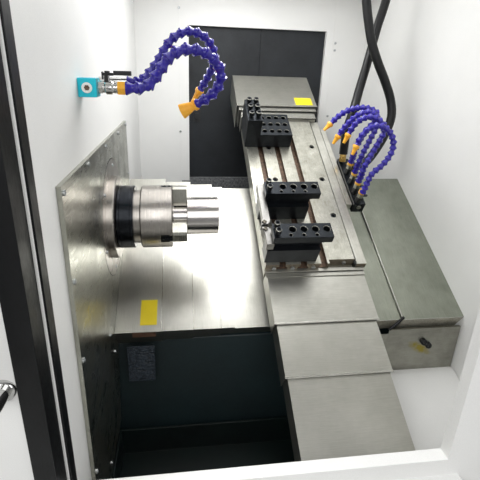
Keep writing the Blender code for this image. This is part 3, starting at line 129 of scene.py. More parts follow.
def smooth_route(points, spacing):
    """Points at an even spacing along a smooth curve through the route's own points."""
    knots = [Vector(p) for p in points]
    knots = [2 * knots[0] - knots[1]] + knots + [2 * knots[-1] - knots[-2]]
    fine = []
    for a, b, c, d in zip(knots, knots[1:], knots[2:], knots[3:]):
        for step in range(20):
            t = step / 20
            fine.append(0.5 * (2 * b + (c - a) * t + (2 * a - 5 * b + 4 * c - d) * t * t
                               + (3 * b - a - 3 * c + d) * t ** 3))
    fine.append(knots[-2])
    lengths = [0.0]
    for one, two in zip(fine, fine[1:]):
        lengths.append(lengths[-1] + (two - one).length)
    count = max(2, round(lengths[-1] / spacing))
    even = []
    index = 0
    for number in range(count + 1):
        wanted = lengths[-1] * number / count
        while index < len(fine) - 2 and lengths[index + 1] < wanted:
            index += 1
        part = (wanted - lengths[index]) / (lengths[index + 1] - lengths[index])
        even.append(fine[index].lerp(fine[index + 1], min(max(part, 0.0), 1.0)))
    return even


def sweep(bm, points, radii, steps=24):
    """A closed round body along points, with a radius at each of them."""
    ahead = [(b - a).normalized() for a, b in zip(points, points[1:])]
    ahead.append(ahead[-1])
    across = ahead[0].orthogonal().normalized()
    rings = []
    for place, way, radius in zip(points, ahead, radii):
        across = (across - way * across.dot(way)).normalized()
        third = way.cross(across)
        turns = [2 * math.pi * k / steps for k in range(steps)]
        rings.append([bm.verts.new(place + radius * (math.cos(t) * across + math.sin(t) * third))
                      for t in turns])
    for one, two in zip(rings, rings[1:]):
        for k in range(steps):
            bm.faces.new((one[k], one[(k + 1) % steps], two[(k + 1) % steps], two[k]))
    bm.faces.new(rings[0][::-1])
    bm.faces.new(rings[-1])


def piece(name, bm, material, body=None, edge_mm=0.0, turn=None):
    """Turn a bmesh into a piece with its sharp edges broken, riding on a body."""
    bmesh.ops.recalc_face_normals(bm, faces=bm.faces)
    if edge_mm:
        sharp = [e for e in bm.edges if len(e.link_faces) == 2 and e.calc_face_angle() > 0.5]
        bmesh.ops.bevel(bm, geom=sharp, offset=edge_mm / 1000, segments=2, profile=0.5,
                        affect="EDGES", clamp_overlap=True)
    if turn:
        bm.transform(turn)
    mesh = bpy.data.meshes.new(name)
    bm.to_mesh(mesh)
    bm.free()
    mesh.shade_smooth()
    mesh.set_sharp_from_angle(angle=math.radians(40))
    mesh.materials.append(material)
    made = bpy.data.objects.new(name, mesh)
    bpy.context.scene.collection.objects.link(made)
    if edge_mm:
        made.modifiers.new("flat_faces", "WEIGHTED_NORMAL").keep_sharp = True
    if body:
        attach(made, body)
    return made


# Nitrile rubber: near black and dull, with a faint haze along the hose.
nitrile = surface("nitrile_rubber", "#111214", "#08090A", (0.30, 0.46), grain_mm=(3, 3, 12), patch_mm=60,
                  relief_mm=0.05, specular_ior_level=0.3)
feed_routes = [
    [(0.545, 0.195, 1.7117), (0.545, 0.195, 1.6917), (0.545, 0.195, 1.66), (0.556, 0.190, 1.59),
     (0.570, 0.182, 1.527), (0.585, 0.172, 1.470), (0.610, 0.160, 1.410), (0.640, 0.150, 1.352),
     (0.664, 0.139, 1.294), (0.670, 0.126, 1.240), (0.655, 0.120, 1.182), (0.630, 0.119, 1.128),
     (0.603, 0.119, 1.086), (0.5728, 0.1194, 1.0655), (0.5528, 0.1194, 1.0655)],
    [(0.655, 0.245, 1.7117), (0.655, 0.245, 1.6917), (0.655, 0.245, 1.66), (0.642, 0.242, 1.59),
     (0.626, 0.236, 1.529), (0.612, 0.226, 1.471), (0.592, 0.206, 1.400), (0.563, 0.170, 1.330),
     (0.535, 0.130, 1.268), (0.5145, 0.119, 1.195), (0.513, 0.1216, 1.1298), (0.513, 0.1216, 1.1098)],
]
for number, route in enumerate(feed_routes, 1):
    path = [Vector(route[0])] + smooth_route(route[1:-1], 0.012) + [Vector(route[-1])]
    hose = bmesh.new()
    sweep(hose, path, [0.0145] * len(path), 32)
    tube = piece(f"feed_hose_{number}_rubber", hose, nitrile)
    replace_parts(tube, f"feed_hose_{number}")
    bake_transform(tube)


# Floor and light: a pale workshop floor, and soft light round the machine and inside it, where such
# lathes carry a flat lamp under the roof.
def lamp(name, at, target, size, power):
    """A soft rectangular lamp turned towards a point."""
    light = bpy.data.lights.new(name, "AREA")
    light.shape = "RECTANGLE"
    light.size, light.size_y = size
    light.energy = power
    holder = bpy.data.objects.new(name, light)
    holder.location = at
    holder.rotation_euler = (Vector(target) - Vector(at)).to_track_quat("-Z", "Y").to_euler()
    bpy.context.scene.collection.objects.link(holder)


def box(bm, low, high):
    """A box between two corners."""
    corner = [bm.verts.new((x, y, z)) for x in (low[0], high[0]) for y in (low[1], high[1])
              for z in (low[2], high[2])]
    for face in ((0, 1, 3, 2), (4, 6, 7, 5), (0, 4, 5, 1), (2, 3, 7, 6), (0, 2, 6, 4), (1, 5, 7, 3)):
        bm.faces.new([corner[i] for i in face])


def boxes(*corners):
    """A mesh of boxes, each between two corners that follow each other."""
    bm = bmesh.new()
    for low, high in zip(corners[::2], corners[1::2]):
        box(bm, low, high)
    return bm


lamp("work_lamp", (0.155, 0.04, 1.700), (0.155, 0.04, 0.90), (0.25, 0.56), 5)
lamp("roof_glow", (0.26, 0.02, 1.705), (0.26, 0.02, 0.90), (1.14, 0.95), 4.8)
lamp("doorway_fill", (0.05, -1.9, 1.9), (0.1, -0.1, 1.0), (1.6, 1.2), 16)
lamp("key", (-2.6, -2.9, 3.1), (0, 0, 0.9), (1.8, 1.8), 44)
lamp("side_fill", (3.4, -1.2, 2.4), (0, 0, 0.9), (2.0, 2.0), 36)
lamp("back_light", (0.8, 3.6, 3.0), (0, 0, 0.9), (2.4, 1.6), 55)
world = bpy.data.worlds.new("studio")
world.use_nodes = True
world.node_tree.nodes["Background"].inputs["Color"].default_value = (1, 1, 1, 1)
world.node_tree.nodes["Background"].inputs["Strength"].default_value = 0.32
bpy.context.scene.world = world
bpy.context.scene.view_settings.view_transform = "Standard"
# Sealed concrete: pale, smooth and slightly blotched.
concrete = surface("sealed_concrete", "#D8D8D5", "#C9C9C6", (0.55, 0.75), grain_mm=(6, 6, 6), patch_mm=600)
piece("workshop_floor", boxes((-6, -6, -0.05), (6, 6, 0)), concrete)


# Base casting: one iron casting with the slanted bed, painted green-black. It stands on levelling
# feet. A plate in lighter crinkle paint on its front is painted light: its grey stands for light falling there.
def body_of(node):
    """The moving body that a CAD node belongs to."""
    bodies = frame["record"]["behaviour"]["bodies"]
    return next(name for name, nodes in bodies.items() if node in nodes)


def dressed(node, material, edge_mm=0.8):
    """A CAD node's own solid with its edges broken, in its real material."""
    bm = bmesh.new()
    bm.from_mesh(frame["nodes"][node].data)
    bmesh.ops.remove_doubles(bm, verts=bm.verts, dist=0.00002)
    bmesh.ops.dissolve_limit(bm, angle_limit=0.01, verts=bm.verts, edges=bm.edges)
    made = piece(f"{node}_shape", bm, material, body_of(node), edge_mm)
    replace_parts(made, node)
    return made


# Machine enamel on iron: green-black, slightly lumpy under the paint and wet with oil.
enamel = surface("casting_enamel", "#1C2C2F", "#101B1D", (0.42, 0.60), grain_mm=(2.5, 2.5, 2.5),
                 patch_mm=200, relief_mm=0.12)
dressed("base_casting", enamel, 2.5)
# Crinkle paint: bluish grey with glinting wrinkles, drawn several times deeper so that they show.
# Its grey is lighter than the casting's enamel, for the light on this spot: painted light.
crinkle_with_painted_light = surface("crinkle_paint_and_painted_light", "#434C56", "#12161B", (0.16, 0.34), grain_mm=(7.0, 7.0, 4.0), patch_mm=7,
                  relief_mm=6.0)
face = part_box("chip_tray")[1].y
painted_light_plate = boxes((-0.192, face - 0.0010, 0.565), (-0.121, face + 0.0008, 0.680))
piece("casting_painted_light_plate", painted_light_plate, crinkle_with_painted_light, "machine", 0.4)

# Headstock and spindle: an enamelled iron casting seats on the bed and carries the ground steel
# spindle, with the clamping cylinder at its tail. Both are hidden behind the left wall.
def turned(bm, profile, at, axis=(0, 0, 1), steps=32):
    """A body turned about an axis from (radius, height) points; a third value gives that ring corners."""
    turn = Matrix.Translation(at) @ Vector(axis).to_track_quat("Z", "Y").to_matrix().to_4x4()
    rings = []
    for radius, height, *corners in profile:
        ring = []
        for k in range(steps if radius else 1):
            t = 2 * math.pi * k / steps
            reach = radius
            if corners:
                half = math.pi / corners[0]
                reach = radius * math.cos(half) / math.cos(t % (2 * half) - half)
            ring.append(bm.verts.new(turn @ Vector((reach * math.cos(t), reach * math.sin(t), height))))
        rings.append(ring)
    for one, two in zip(rings, rings[1:] + rings[:1]):
        if len(one) > 1 or len(two) > 1:
            for k in range(steps):
                j = k + 1
                ends = [one[k % len(one)], one[j % len(one)], two[j % len(two)], two[k % len(two)]]
                bm.faces.new(list(dict.fromkeys(ends)))


spindle_at = Vector(next(j["pos_m"] for j in frame["joints"] if j["name"] == "spindle_spin"))
axis_point = Vector((0, spindle_at.y, spindle_at.z))
# Ground steel: pale and fine-grained, with a thin film of oil.
ground_steel = surface("ground_steel", "#B7B6AD", "#94938A", (0.22, 0.38), 1.0, grain_mm=(0.5, 40, 40),
                       patch_mm=45, relief_mm=0.01)
dressed("headstock", enamel, 2.0)
low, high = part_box("spindle")
tail = low.x
cylinder, seal_ring, draw_tube, tube, collar, nose = 0.095, 0.0665, 0.033, 0.055, 0.075, 0.058
rear_collar, front_collar = (-0.7600, -0.7403), (-0.2697, -0.2640)
shaft = bmesh.new()
turned(shaft, [
    (0, tail), (0.060, tail), (seal_ring, tail + 0.004), (seal_ring, tail + 0.04),
    (cylinder - 0.005, tail + 0.04), (cylinder, tail + 0.045), (cylinder, tail + 0.075),
    (cylinder - 0.003, tail + 0.078), (cylinder, tail + 0.081), (cylinder, tail + 0.115),
    (cylinder - 0.005, tail + 0.12), (draw_tube, tail + 0.12), (draw_tube, rear_collar[0]),
    (collar, rear_collar[0]), (collar, rear_collar[1]), (tube, rear_collar[1]), (tube, front_collar[0]),
    (collar, front_collar[0]), (collar, front_collar[1]), (nose, front_collar[1]), (nose, high.x),
    (0, high.x)], axis_point, (1, 0, 0), 96)
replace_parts(piece("spindle_shaft", shaft, ground_steel, "spindle", 0.5), "spindle")

# Z drive: a ground steel ball screw between the bed's ways, turned by a servo motor at its right
# end. The motor is a square cast body with a flange, a rear cap and a round plug on it.
# Motor enamel: satin black, smooth.
motor_black = surface("motor_enamel", "#1E2022", "#141516", (0.35, 0.50), patch_mm=50)
slant = math.radians(30)
on_slope = Matrix.Translation(axis_point) @ Matrix.Rotation(slant, 4, "X")


def slope_box(node):
    """Lowest and highest corner of a CAD node in x, s and n, up the slope and square to it."""
    points = [on_slope.inverted() @ vertex.co for vertex in frame["nodes"][node].data.vertices]
    return (Vector(min(p[i] for p in points) for i in range(3)),
            Vector(max(p[i] for p in points) for i in range(3)))


def ball_screw(node, axis):
    """A screw with a rolled ball thread between plain journals; axis is 0 along x and 1 along s."""
    low, high = slope_box(node)
    radius = (high.z - low.z) / 2
    start, end = low[axis], high[axis]
    centre = (low + high) / 2
    centre[axis] = 0
    lead = 0.010
    profile = [(0, start), (radius * 0.8, start), (radius * 0.8, start + 0.02)]
    turns = int((end - start - 0.05) / lead)
    for k in range(turns):
        z = start + 0.021 + k * lead
        profile += [(radius, z), (radius, z + lead * 0.45), (radius * 0.88, z + lead * 0.72)]
    profile += [(radius * 0.8, end - 0.02), (radius * 0.8, end), (0, end)]
    bm = bmesh.new()
    turned(bm, profile, centre, (1, 0, 0) if axis == 0 else (0, 1, 0), 40)
    made = piece(f"{node}_thread", bm, ground_steel, node, 0, on_slope)
    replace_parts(made, node)


def servo_motor(node, axis, body):
    """A square servo motor whose shaft end faces the low end of the axis."""
    low, high = slope_box(node)
    bm = bmesh.new()
    length = high[axis] - low[axis]
    middle = (low + high) / 2
    for start, end, inset in ((0, 0.10, 0), (0.11, 0.72, 0.004), (0.73, 1.0, 0.002)):
        a, b = low + Vector((inset,) * 3), high - Vector((inset,) * 3)
        a[axis], b[axis] = low[axis] + start * length, low[axis] + end * length
        box(bm, a, b)
    core_low, core_high = low + Vector((0.008,) * 3), high - Vector((0.008,) * 3)
    box(bm, core_low, core_high)
    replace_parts(piece(f"{node}_body", bm, motor_black, body, 1.2, on_slope), node)
    plug = bmesh.new()
    at = middle.copy()
    at[axis] = high[axis] - 0.15 * length
    at.z = high.z - 0.003
    turned(plug, [(0, 0), (0.010, 0), (0.010, 0.010), (0.012, 0.011), (0.012, 0.018), (0.009, 0.019),
                  (0, 0.019)], at)
    piece(f"{node}_plug", plug, ground_steel, body, 0.3, on_slope)


ball_screw("z_screw", 0)
servo_motor("z_motor", 0, "machine")


# Inner walls: folded sheet, powder coated off-white, screwed together at their seams. The rear
# hatch behind them is a dark sheet with a seam, a latch and a speckled ledge under it.
# Powder coat: off-white with a fine orange-peel skin.
powder_coat = surface("powder_coat_white", "#ECECEA", "#E1E1DF", (0.34, 0.50), grain_mm=(1.6, 1.6, 1.6),
                      patch_mm=400, relief_mm=0.03)
# Structure paint: blue-black, with the crinkle that dulls it.
structure_paint = surface("structure_paint_dark", "#1C2127", "#0E1114", (0.50, 0.75),
                          grain_mm=(1.4, 1.4, 1.4), patch_mm=120, relief_mm=0.25)
for wall in ("left_wall", "right_wall", "back_wall"):
    dressed(wall, powder_coat, 0.8)
dressed("rear_hatch", structure_paint, 0.5)
wall_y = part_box("back_wall")[0].y
seam_y = wall_y - 0.0015
trim = boxes((-0.052, seam_y, 0.62), (-0.046, wall_y, 1.72), (0.617, seam_y, 0.62), (0.640, wall_y, 1.72))
piece("back_wall_seams", trim, powder_coat, "machine", 0.4)
# Zinc-plated steel: bright grey screws.
zinc = surface("zinc_plated_steel", "#C6C8C9", "#9FA3A6", (0.22, 0.40), 1.0, patch_mm=8)


def cap_screw(bm, at, axis, radius, height):
    """The head of a socket screw with its chamfer and its hexagon socket."""
    turned(bm, [(0, -0.0005), (radius, -0.0005), (radius, height * 0.88), (radius * 0.9, height),
                (radius * 0.60, height, 6), (radius * 0.56, height * 0.4, 6), (0, height * 0.35)],
           at, axis, 24)


screws = bmesh.new()
for x, z in ((0.628, 1.492), (0.628, 1.463), (0.628, 1.18), (0.628, 0.90), (-0.049, 1.60),
             (-0.049, 1.10)):
    cap_screw(screws, (x, seam_y, z), (0, -1, 0), 0.005, 0.0025)
piece("wall_screws", screws, zinc, "machine")
low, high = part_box("rear_hatch")
plate_y = low.y - 0.003
latch = boxes((low.x + 0.050, plate_y, low.z + 0.300), (low.x + 0.082, low.y, low.z + 0.355),
              (low.x + 0.058, low.y - 0.009, low.z + 0.315), (low.x + 0.074, low.y - 0.002, low.z + 0.340))
cap_screw(latch, (low.x + 0.066, plate_y, low.z + 0.307), (0, -1, 0), 0.004, 0.0025)
piece("hatch_latch", latch, motor_black, "machine", 0.6)
ledge = boxes((low.x - 0.005, wall_y - 0.0010, low.z - 0.0120),
              (high.x + 0.005, wall_y + 0.0005, low.z + 0.0320),
              (low.x + 0.031, wall_y + 0.0020, low.z + 0.0305), (high.x - 0.031, low.y, low.z + 0.0440))
# Lime specks: hard water has dried in pale dots on the ledge's dark paint.
specks = surface("lime_specked_paint", "#8E9092", "#14171A", (0.50, 0.80), grain_mm=(2.6, 2.6, 2.6),
                 patch_mm=9, relief_mm=0.10)
piece("hatch_ledge", ledge, specks, "machine", 0.4)

# Trays: the chip tray on the base's front shelf is folded sheet in dark paint, and the chute at
# its right drains into it. A stainless splash sheet closes the casting over the chute.
def stained(material, at, size, turn, tint):
    """Add one soft stain to a surface: an ellipse of another colour, broken up by noise."""
    tree = material.node_tree
    colour = tree.nodes["Principled BSDF"].inputs["Base Color"]
    place = add_node(tree, "TexCoord").outputs["Object"]
    spot = add_node(tree, "Mapping", {"Location": at, "Rotation": turn, "Scale": size}, {"Vector": place},
                    vector_type="TEXTURE")
    glow = add_node(tree, "TexGradient", (), {"Vector": spot.outputs["Vector"]}, gradient_type="SPHERICAL")
    patch = add_node(tree, "TexNoise", {"Scale": 70.0, "Detail": 5.0}, {"Vector": place})
    both = add_node(tree, "Math", (), {0: glow.outputs["Fac"], 1: patch.outputs["Fac"]}, operation="MULTIPLY")
    amount = add_node(tree, "MapRange", {"From Min": 0.08, "From Max": 0.35, "To Max": 0.85},
                      {"Value": both.outputs[0]})
    clean = colour.links[0].from_socket
    mixed = add_node(tree, "Mix", {7: srgb(tint)}, {0: amount.outputs["Result"], 6: clean},
                     data_type="RGBA")
    tree.links.new(mixed.outputs[2], colour)


# Brushed stainless sheet: warm grey, its grain rolled along x or up the slope.
stainless_x = surface("brushed_stainless_along_x", "#C4C3BC", "#A3A29A", (0.30, 0.44), 1.0,
                      grain_mm=(45, 0.5, 0.5), patch_mm=130, relief_mm=0.012)
stainless_s = surface("brushed_stainless_up_slope", "#C4C3BC", "#A3A29A", (0.30, 0.44), 1.0,
                      grain_mm=(0.5, 45, 0.5), patch_mm=130, relief_mm=0.012, tilt=slant)
# Tray paint: green-black and wet with oil, so it swallows the light.
tray_paint = surface("oiled_tray_paint", "#13211F", "#080F10", (0.30, 0.55), grain_mm=(2.2, 2.2, 2.2),
                     patch_mm=160, relief_mm=0.20)
dressed("chip_tray", tray_paint, 0.8)
dressed("chip_chute", powder_coat, 0.8)
low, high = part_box("chip_chute")
# The sheet's left part ends lower, so that the saddle passes over it.
step_x, left_top, right_top = 0.5400, 0.677, 0.690
sheet = bmesh.new()
for start, end, top in ((low.x + 0.004, step_x, left_top), (step_x, high.x - 0.001, right_top)):
    box(sheet, (start, high.y - 0.0005, high.z - 0.030), (end, high.y + 0.0008, top))
box(sheet, (step_x, high.y + 0.0002, right_top - 0.0015),
    (high.x - 0.001, high.y + 0.0065, right_top - 0.0002))
# The same steel under coolant: darker, with one yellow stain where the oil has dried.
splash_steel = surface("oil_stained_stainless", "#ADACA3", "#8B8A81", (0.30, 0.46), 1.0,
                       grain_mm=(45, 0.5, 0.5), patch_mm=60, relief_mm=0.012)
stained(splash_steel, (0.645, -0.304, 0.622), (0.055, 0.05, 0.020), (0, 0.50, 0), "#9A8A1E")
piece("chute_splash_sheet", sheet, splash_steel, "machine", 0.3)
# Black plastic: moulded knobs and caps, satin.
black_plastic = surface("black_moulded_plastic", "#141517", "#0C0D0E", (0.33, 0.48), patch_mm=15,
                        specular_ior_level=0.35)
knobs = bmesh.new()
for x, z in ((0.6524, 0.6446), (0.6684, 0.6330)):
    turned(knobs, [(0, 0), (0.0095, 0), (0.0095, 0.008), (0.0075, 0.011), (0.003, 0.011), (0.002, 0.009),
                   (0, 0.009)], (x, high.y, z), (0, -1, 0))
piece("chute_knobs", knobs, black_plastic, "machine", 0.4)

# Splash plate: polished stainless sheet screwed on the left wall, with the nose cover turned
# from one piece. Both mirror the covers and carry fine wiping scratches.
def repainted(made, material, wanted):
    """The piece with another finish on those of its faces whose centre passes a test."""
    made.data.materials.append(material)
    for face in made.data.polygons:
        if wanted(face.center):
            face.material_index = len(made.data.materials) - 1
    return made


# Polished stainless: a clear but soft mirror, with scratches that run up the plate.
polished = surface("polished_stainless_plate", "#C0C0B6", "#9A9A90", (0.22, 0.35), 1.0,
                   grain_mm=(1, 60, 0.8), patch_mm=70, relief_mm=0.010)
# Turned steel: the tool's fine rings run round the spindle.
turned_steel = surface("turned_steel", "#BDB8B2", "#98938D", (0.24, 0.36), 1.0, grain_mm=(0.35, 400, 400),
                       patch_mm=60, relief_mm=0.010)
dressed("bulkhead_plate", polished, 0.5)
low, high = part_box("nose_cover")
rim = low.x + 0.0077
bore_radius, hub_radius, step_radius, flange_radius = 0.062, 0.108, 0.1525, 0.155
cover = bmesh.new()
turned(cover, [(bore_radius, high.x), (hub_radius - 0.0025, high.x), (hub_radius, high.x - 0.0025),
               (hub_radius, rim), (step_radius, rim), (step_radius, rim - 0.0060),
               (flange_radius, rim - 0.0060), (flange_radius, low.x), (bore_radius, low.x)],
       axis_point, (1, 0, 0), 160)
cover = piece("nose_cover_turned", cover, turned_steel, "machine", 0.2)
repainted(cover, black_plastic, lambda at: (at - axis_point).yz.length > step_radius - 0.0007)
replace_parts(cover, "nose_cover")
screws = bmesh.new()
for y, z in ((-0.590, 1.193), (-0.412, 1.196), (-0.220, 1.194), (-0.021, 1.194), (0.140, 1.196),
             (0.140, 1.036), (-0.590, 1.038), (-0.590, 0.878), (-0.590, 0.60), (-0.354, 0.756),
             (-0.312, 0.674), (-0.460, 0.46)):
    cap_screw(screws, (rim, y, z), (1, 0, 0), 0.0050, 0.0030)
screw_circle = 0.135
for k in range(6):
    t = math.radians(60 * k + 12)
    cap_screw(screws, axis_point + Vector((rim, screw_circle * math.sin(t), screw_circle * math.cos(t))),
              (1, 0, 0), 0.0045, 0.0028)
piece("splash_plate_screws", screws, zinc, "machine")


# Chuck: the blued steel adapter ring, the turned steel body with its three jaw slots, the ground
# jaws on their black keys and the bright bar that they grip. The spindle turns them all.
def carved(bm, tools):
    """The bmesh after an exact cut with the tools."""
    parts = []
    for label, source in (("blank", bm), ("tools", tools)):
        bmesh.ops.recalc_face_normals(source, faces=source.faces)
        mesh = bpy.data.meshes.new(label)
        source.to_mesh(mesh)
        source.free()
        parts.append(bpy.data.objects.new(label, mesh))
        bpy.context.scene.collection.objects.link(parts[-1])
    cut = parts[0].modifiers.new("cut", "BOOLEAN")
    cut.object = parts[1]
    cut.solver = "EXACT"
    bpy.context.view_layer.update()
    result = bmesh.new()
    result.from_object(parts[0], bpy.context.evaluated_depsgraph_get())
    for part in parts:
        bpy.data.objects.remove(part, do_unlink=True)
    bmesh.ops.remove_doubles(result, verts=result.verts, dist=0.00001)
    return result


def prism(bm, outline, start, end, place=Matrix()):
    """A straight body over an outline in x and y, between two heights, set in its place."""
    ends = [[bm.verts.new(place @ Vector((x, y, z))) for x, y in outline] for z in (start, end)]
    bm.faces.new(ends[0])
    bm.faces.new(ends[1][::-1])
    for k in range(len(outline)):
        j = (k + 1) % len(outline)
        bm.faces.new((ends[0][k], ends[1][k], ends[1][j], ends[0][j]))


# Black oxide on machined steel: deep grey with a satin sheen.
black_oxide = surface("black_oxide_steel", "#2B2F34", "#1A1D20", (0.26, 0.42), 0.75,
                      grain_mm=(1.2, 1.2, 1.2), patch_mm=30, relief_mm=0.010)
# Blued steel: near black and glossy.
blued = surface("blued_steel", "#33363B", "#202226", (0.16, 0.26), 0.9, grain_mm=(0.4, 400, 400),
                patch_mm=30, relief_mm=0.004)
chuck_radius = 0.0825
neck_radius = 0.070
low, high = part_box("chuck_adapter")
ring_end = low.x + 0.041
profile = [(0, low.x), (chuck_radius - 0.002, low.x), (chuck_radius, low.x + 0.002)]
for groove in (low.x + 0.0065, low.x + 0.0325):
    profile += [(chuck_radius, groove), (chuck_radius - 0.001, groove + 0.0005),
                (chuck_radius - 0.001, groove + 0.0015), (chuck_radius, groove + 0.002)]
profile += [(chuck_radius, ring_end - 0.002), (chuck_radius - 0.002, ring_end), (neck_radius, ring_end),
            (neck_radius, high.x), (0, high.x)]
ring = bmesh.new()
turned(ring, profile, axis_point, (1, 0, 0), 160)
ring = repainted(piece("chuck_adapter_ring", ring, blued, "spindle", 0.2), turned_steel,
                 lambda at: at.x > ring_end + 0.0002)
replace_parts(ring, "chuck_adapter")
low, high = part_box("chuck_body")
front = high.x
hole_radius, hole_floor = 0.031, front - 0.012
blank = bmesh.new()
turned(blank, [
    (0, low.x), (chuck_radius - 0.003, low.x), (chuck_radius, low.x + 0.003), (chuck_radius, front - 0.002),
    (chuck_radius - 0.002, front), (hole_radius, front), (hole_radius, hole_floor), (0, hole_floor)],
       axis_point, (1, 0, 0), 160)


def jaw_section(bottom, shoulder, top, wide, narrow):
    """The T-shaped outline of a jaw's slot or key, along the spindle and across the slot."""
    half = [(bottom, -wide), (shoulder, -wide), (shoulder, -narrow), (top, -narrow)]
    return half + [(x, -y) for x, y in half[::-1]]


# The frame of each jaw stands on the spindle's axis, with z out along the jaw.
jaw_frames = [Matrix.Translation(axis_point) @ Matrix.Rotation(-math.radians(angle), 4, "X")
              for angle in (5.5, 125.5, 245.5)]
slots = bmesh.new()
for spot in jaw_frames:
    prism(slots, jaw_section(front - 0.030, front - 0.007, front + 0.01, 0.0135, 0.010), 0.020, 0.1, spot)
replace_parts(piece("chuck_body_turned", carved(blank, slots), turned_steel, "spindle"),
            "chuck_body")
for number, spot in enumerate(jaw_frames, 1):
    node = f"chuck_jaw_{number}"
    dressed(node, ground_steel, 0.7)
    master = bmesh.new()
    prism(master, jaw_section(front - 0.0295, front - 0.0075, front + 0.0030, 0.013, 0.0097),
          0.030, 0.0812, spot)
    for x in (front - 0.021, front - 0.008):
        turned(master, [(0, 0.080), (0.0052, 0.080), (0.0052, 0.0828), (0.0030, 0.0828), (0.0028, 0.0816),
                        (0, 0.0816)], spot @ Vector((x, 0, 0)), spot.to_3x3() @ Vector((0, 0, 1)), 24)
    piece(f"{node}_master", master, black_oxide, body_of(node), 0.3)
low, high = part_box("workpiece_bar")
bar_radius, gripped_radius, shoulder = 0.050, 0.0295, high.x - 0.083
bar = bmesh.new()
turned(bar, [(0, low.x), (gripped_radius, low.x), (gripped_radius, shoulder), (bar_radius - 0.001, shoulder),
             (bar_radius, shoulder + 0.001), (bar_radius, high.x - 0.0015), (bar_radius - 0.0015, high.x),
             (0.016, high.x), (0.0145, high.x - 0.0012), (0, high.x - 0.0012)], axis_point, (1, 0, 0), 160)
# Bright drawn bar: nearly a mirror, with fine turning rings.
bright_bar = surface("bright_drawn_bar", "#D4D0CD", "#B7B2AF", (0.13, 0.22), 1.0, grain_mm=(0.4, 400, 400),
                     patch_mm=60, relief_mm=0.006)
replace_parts(piece("workpiece_bar_turned", bar, bright_bar, "spindle", 0.15),
            "workpiece_bar")

# Way covers: folded stainless sheets that slide in each other over the bed. Each has a thin
# wiper lip at its moving edge. The first left one carries a bare yellow warning plate.
# Steel of the lips: the same sheet, folded and rubbed bright, and drawn lighter than the sheet for
# the highlight along the covers' edges: part wear, part painted highlight.
lip_steel_and_highlight = surface("rubbed_lip_and_painted_highlight", "#D2D1CB", "#AEADA5", (0.18, 0.32), 1.0,
                     grain_mm=(30, 30, 1), patch_mm=40, relief_mm=0.01)
# The right covers carry an old oil film, which dulls them to a greenish grey.
filmed_s = surface("oil_filmed_stainless", "#A3A69A", "#7F8479", (0.32, 0.48), 1.0, grain_mm=(0.5, 45, 0.5),
                   patch_mm=150, relief_mm=0.012, tilt=slant)
# Dried coolant and painted reflection: a pale dull film with brown drips on the right covers' near
# faces. Its pale colour also stands for the white chute that these faces mirror.
coolant_film_and_reflection = surface("coolant_film_and_painted_reflection", "#C2BFB2", "#8A8474", (0.50, 0.75), 0.15, grain_mm=(3, 3, 40),
                     patch_mm=30)


def at_near_end(low_s, depth=0.0005):
    """A test for the faces at a piece's near end, to a depth along the slope."""
    return lambda at: (on_slope.inverted() @ at).y < low_s + depth


for node in ("left_cover_1", "left_cover_2", "left_cover_3", "left_cover_4", "right_cover_1",
             "right_cover_2"):
    on_right = node.startswith("right")
    sheet = dressed(node, filmed_s if on_right else stainless_s, 0.5)
    low, high = slope_box(node)
    edge = low.x if on_right else high.x
    lip, wiper = bmesh.new(), bmesh.new()
    box(lip, (edge - 0.0012, low.y + 0.001, high.z - 0.0026),
        (edge + 0.0012, high.y - 0.001, high.z + 0.0004))
    box(wiper, (edge - 0.0009, low.y + 0.003, high.z - 0.0060),
        (edge + 0.0009, high.y - 0.003, high.z - 0.0024))
    if on_right:
        # The pale film on the near faces: part real film, part painted reflection of the chute.
        repainted(sheet, coolant_film_and_reflection, at_near_end(low.y))
        box(lip, (low.x + 0.002, low.y - 0.0008, high.z - 0.0020),
            (high.x - 0.002, low.y + 0.0008, high.z + 0.0004))
    piece(f"{node}_lip", lip, lip_steel_and_highlight, body_of(node), 0.5, on_slope)
    piece(f"{node}_wiper", wiper, nitrile, body_of(node), 0.3, on_slope)
# A black rubber strap hangs from the first right cover to the splash sheet.
strap_route = ((0.5800, -0.3000, 0.7290), (0.5600, -0.3020, 0.7090), (0.5400, -0.3035, 0.6905))
strap = bmesh.new()
sweep(strap, [Vector(point) for point in strap_route], [0.0040] * 3, 12)
piece("right_cover_strap", strap, nitrile, body_of("right_cover_1"))
# Printed film: bright yellow, satin.
yellow_film = surface("yellow_label_film", "#EAD21E", "#DCC412", (0.38, 0.52), patch_mm=30)
low, high = slope_box("left_cover_1")
label = boxes((high.x - 0.056, low.y + 0.019, high.z - 0.0002),
              (high.x - 0.012, low.y + 0.093, high.z + 0.0004))
piece("cover_warning_plate", label, yellow_film, "machine", 0, on_slope)
# Old glue: a brown, dull strip where another film was pulled off.
glue = surface("old_label_glue", "#7A5A48", "#553F32", (0.55, 0.80), patch_mm=12)
residue = boxes((high.x - 0.076, low.y - 0.0003, high.z - 0.030),
                (high.x - 0.015, low.y + 0.0002, high.z - 0.003))
piece("label_residue", residue, glue, "machine", 0, on_slope)

# Saddle: iron casting on the bed's ways that carries the cross slide, with a side rail at its
# right, cut back at its near end. The cross slide's screw and motor lie in its trough.
# Ground cast iron: dull, streaked by the grinding wheel along the slope, and stained by oil.
ground_iron = surface("ground_cast_iron", "#C8C7BD", "#918F83", (0.24, 0.46), 0.9,
                      grain_mm=(0.6, 30, 0.6), patch_mm=38, relief_mm=0.015, tilt=slant)
# Freshly ground iron: paler, where the parts slide.
ground_bright = surface("bright_ground_iron", "#CFCEC6", "#A9A79D", (0.28, 0.42), 0.9,
                        grain_mm=(0.6, 30, 0.6), patch_mm=60, relief_mm=0.012, tilt=slant)
rail_x = 0.4755
casting, notch = bmesh.new(), bmesh.new()
casting.from_mesh(frame["nodes"]["saddle"].data)
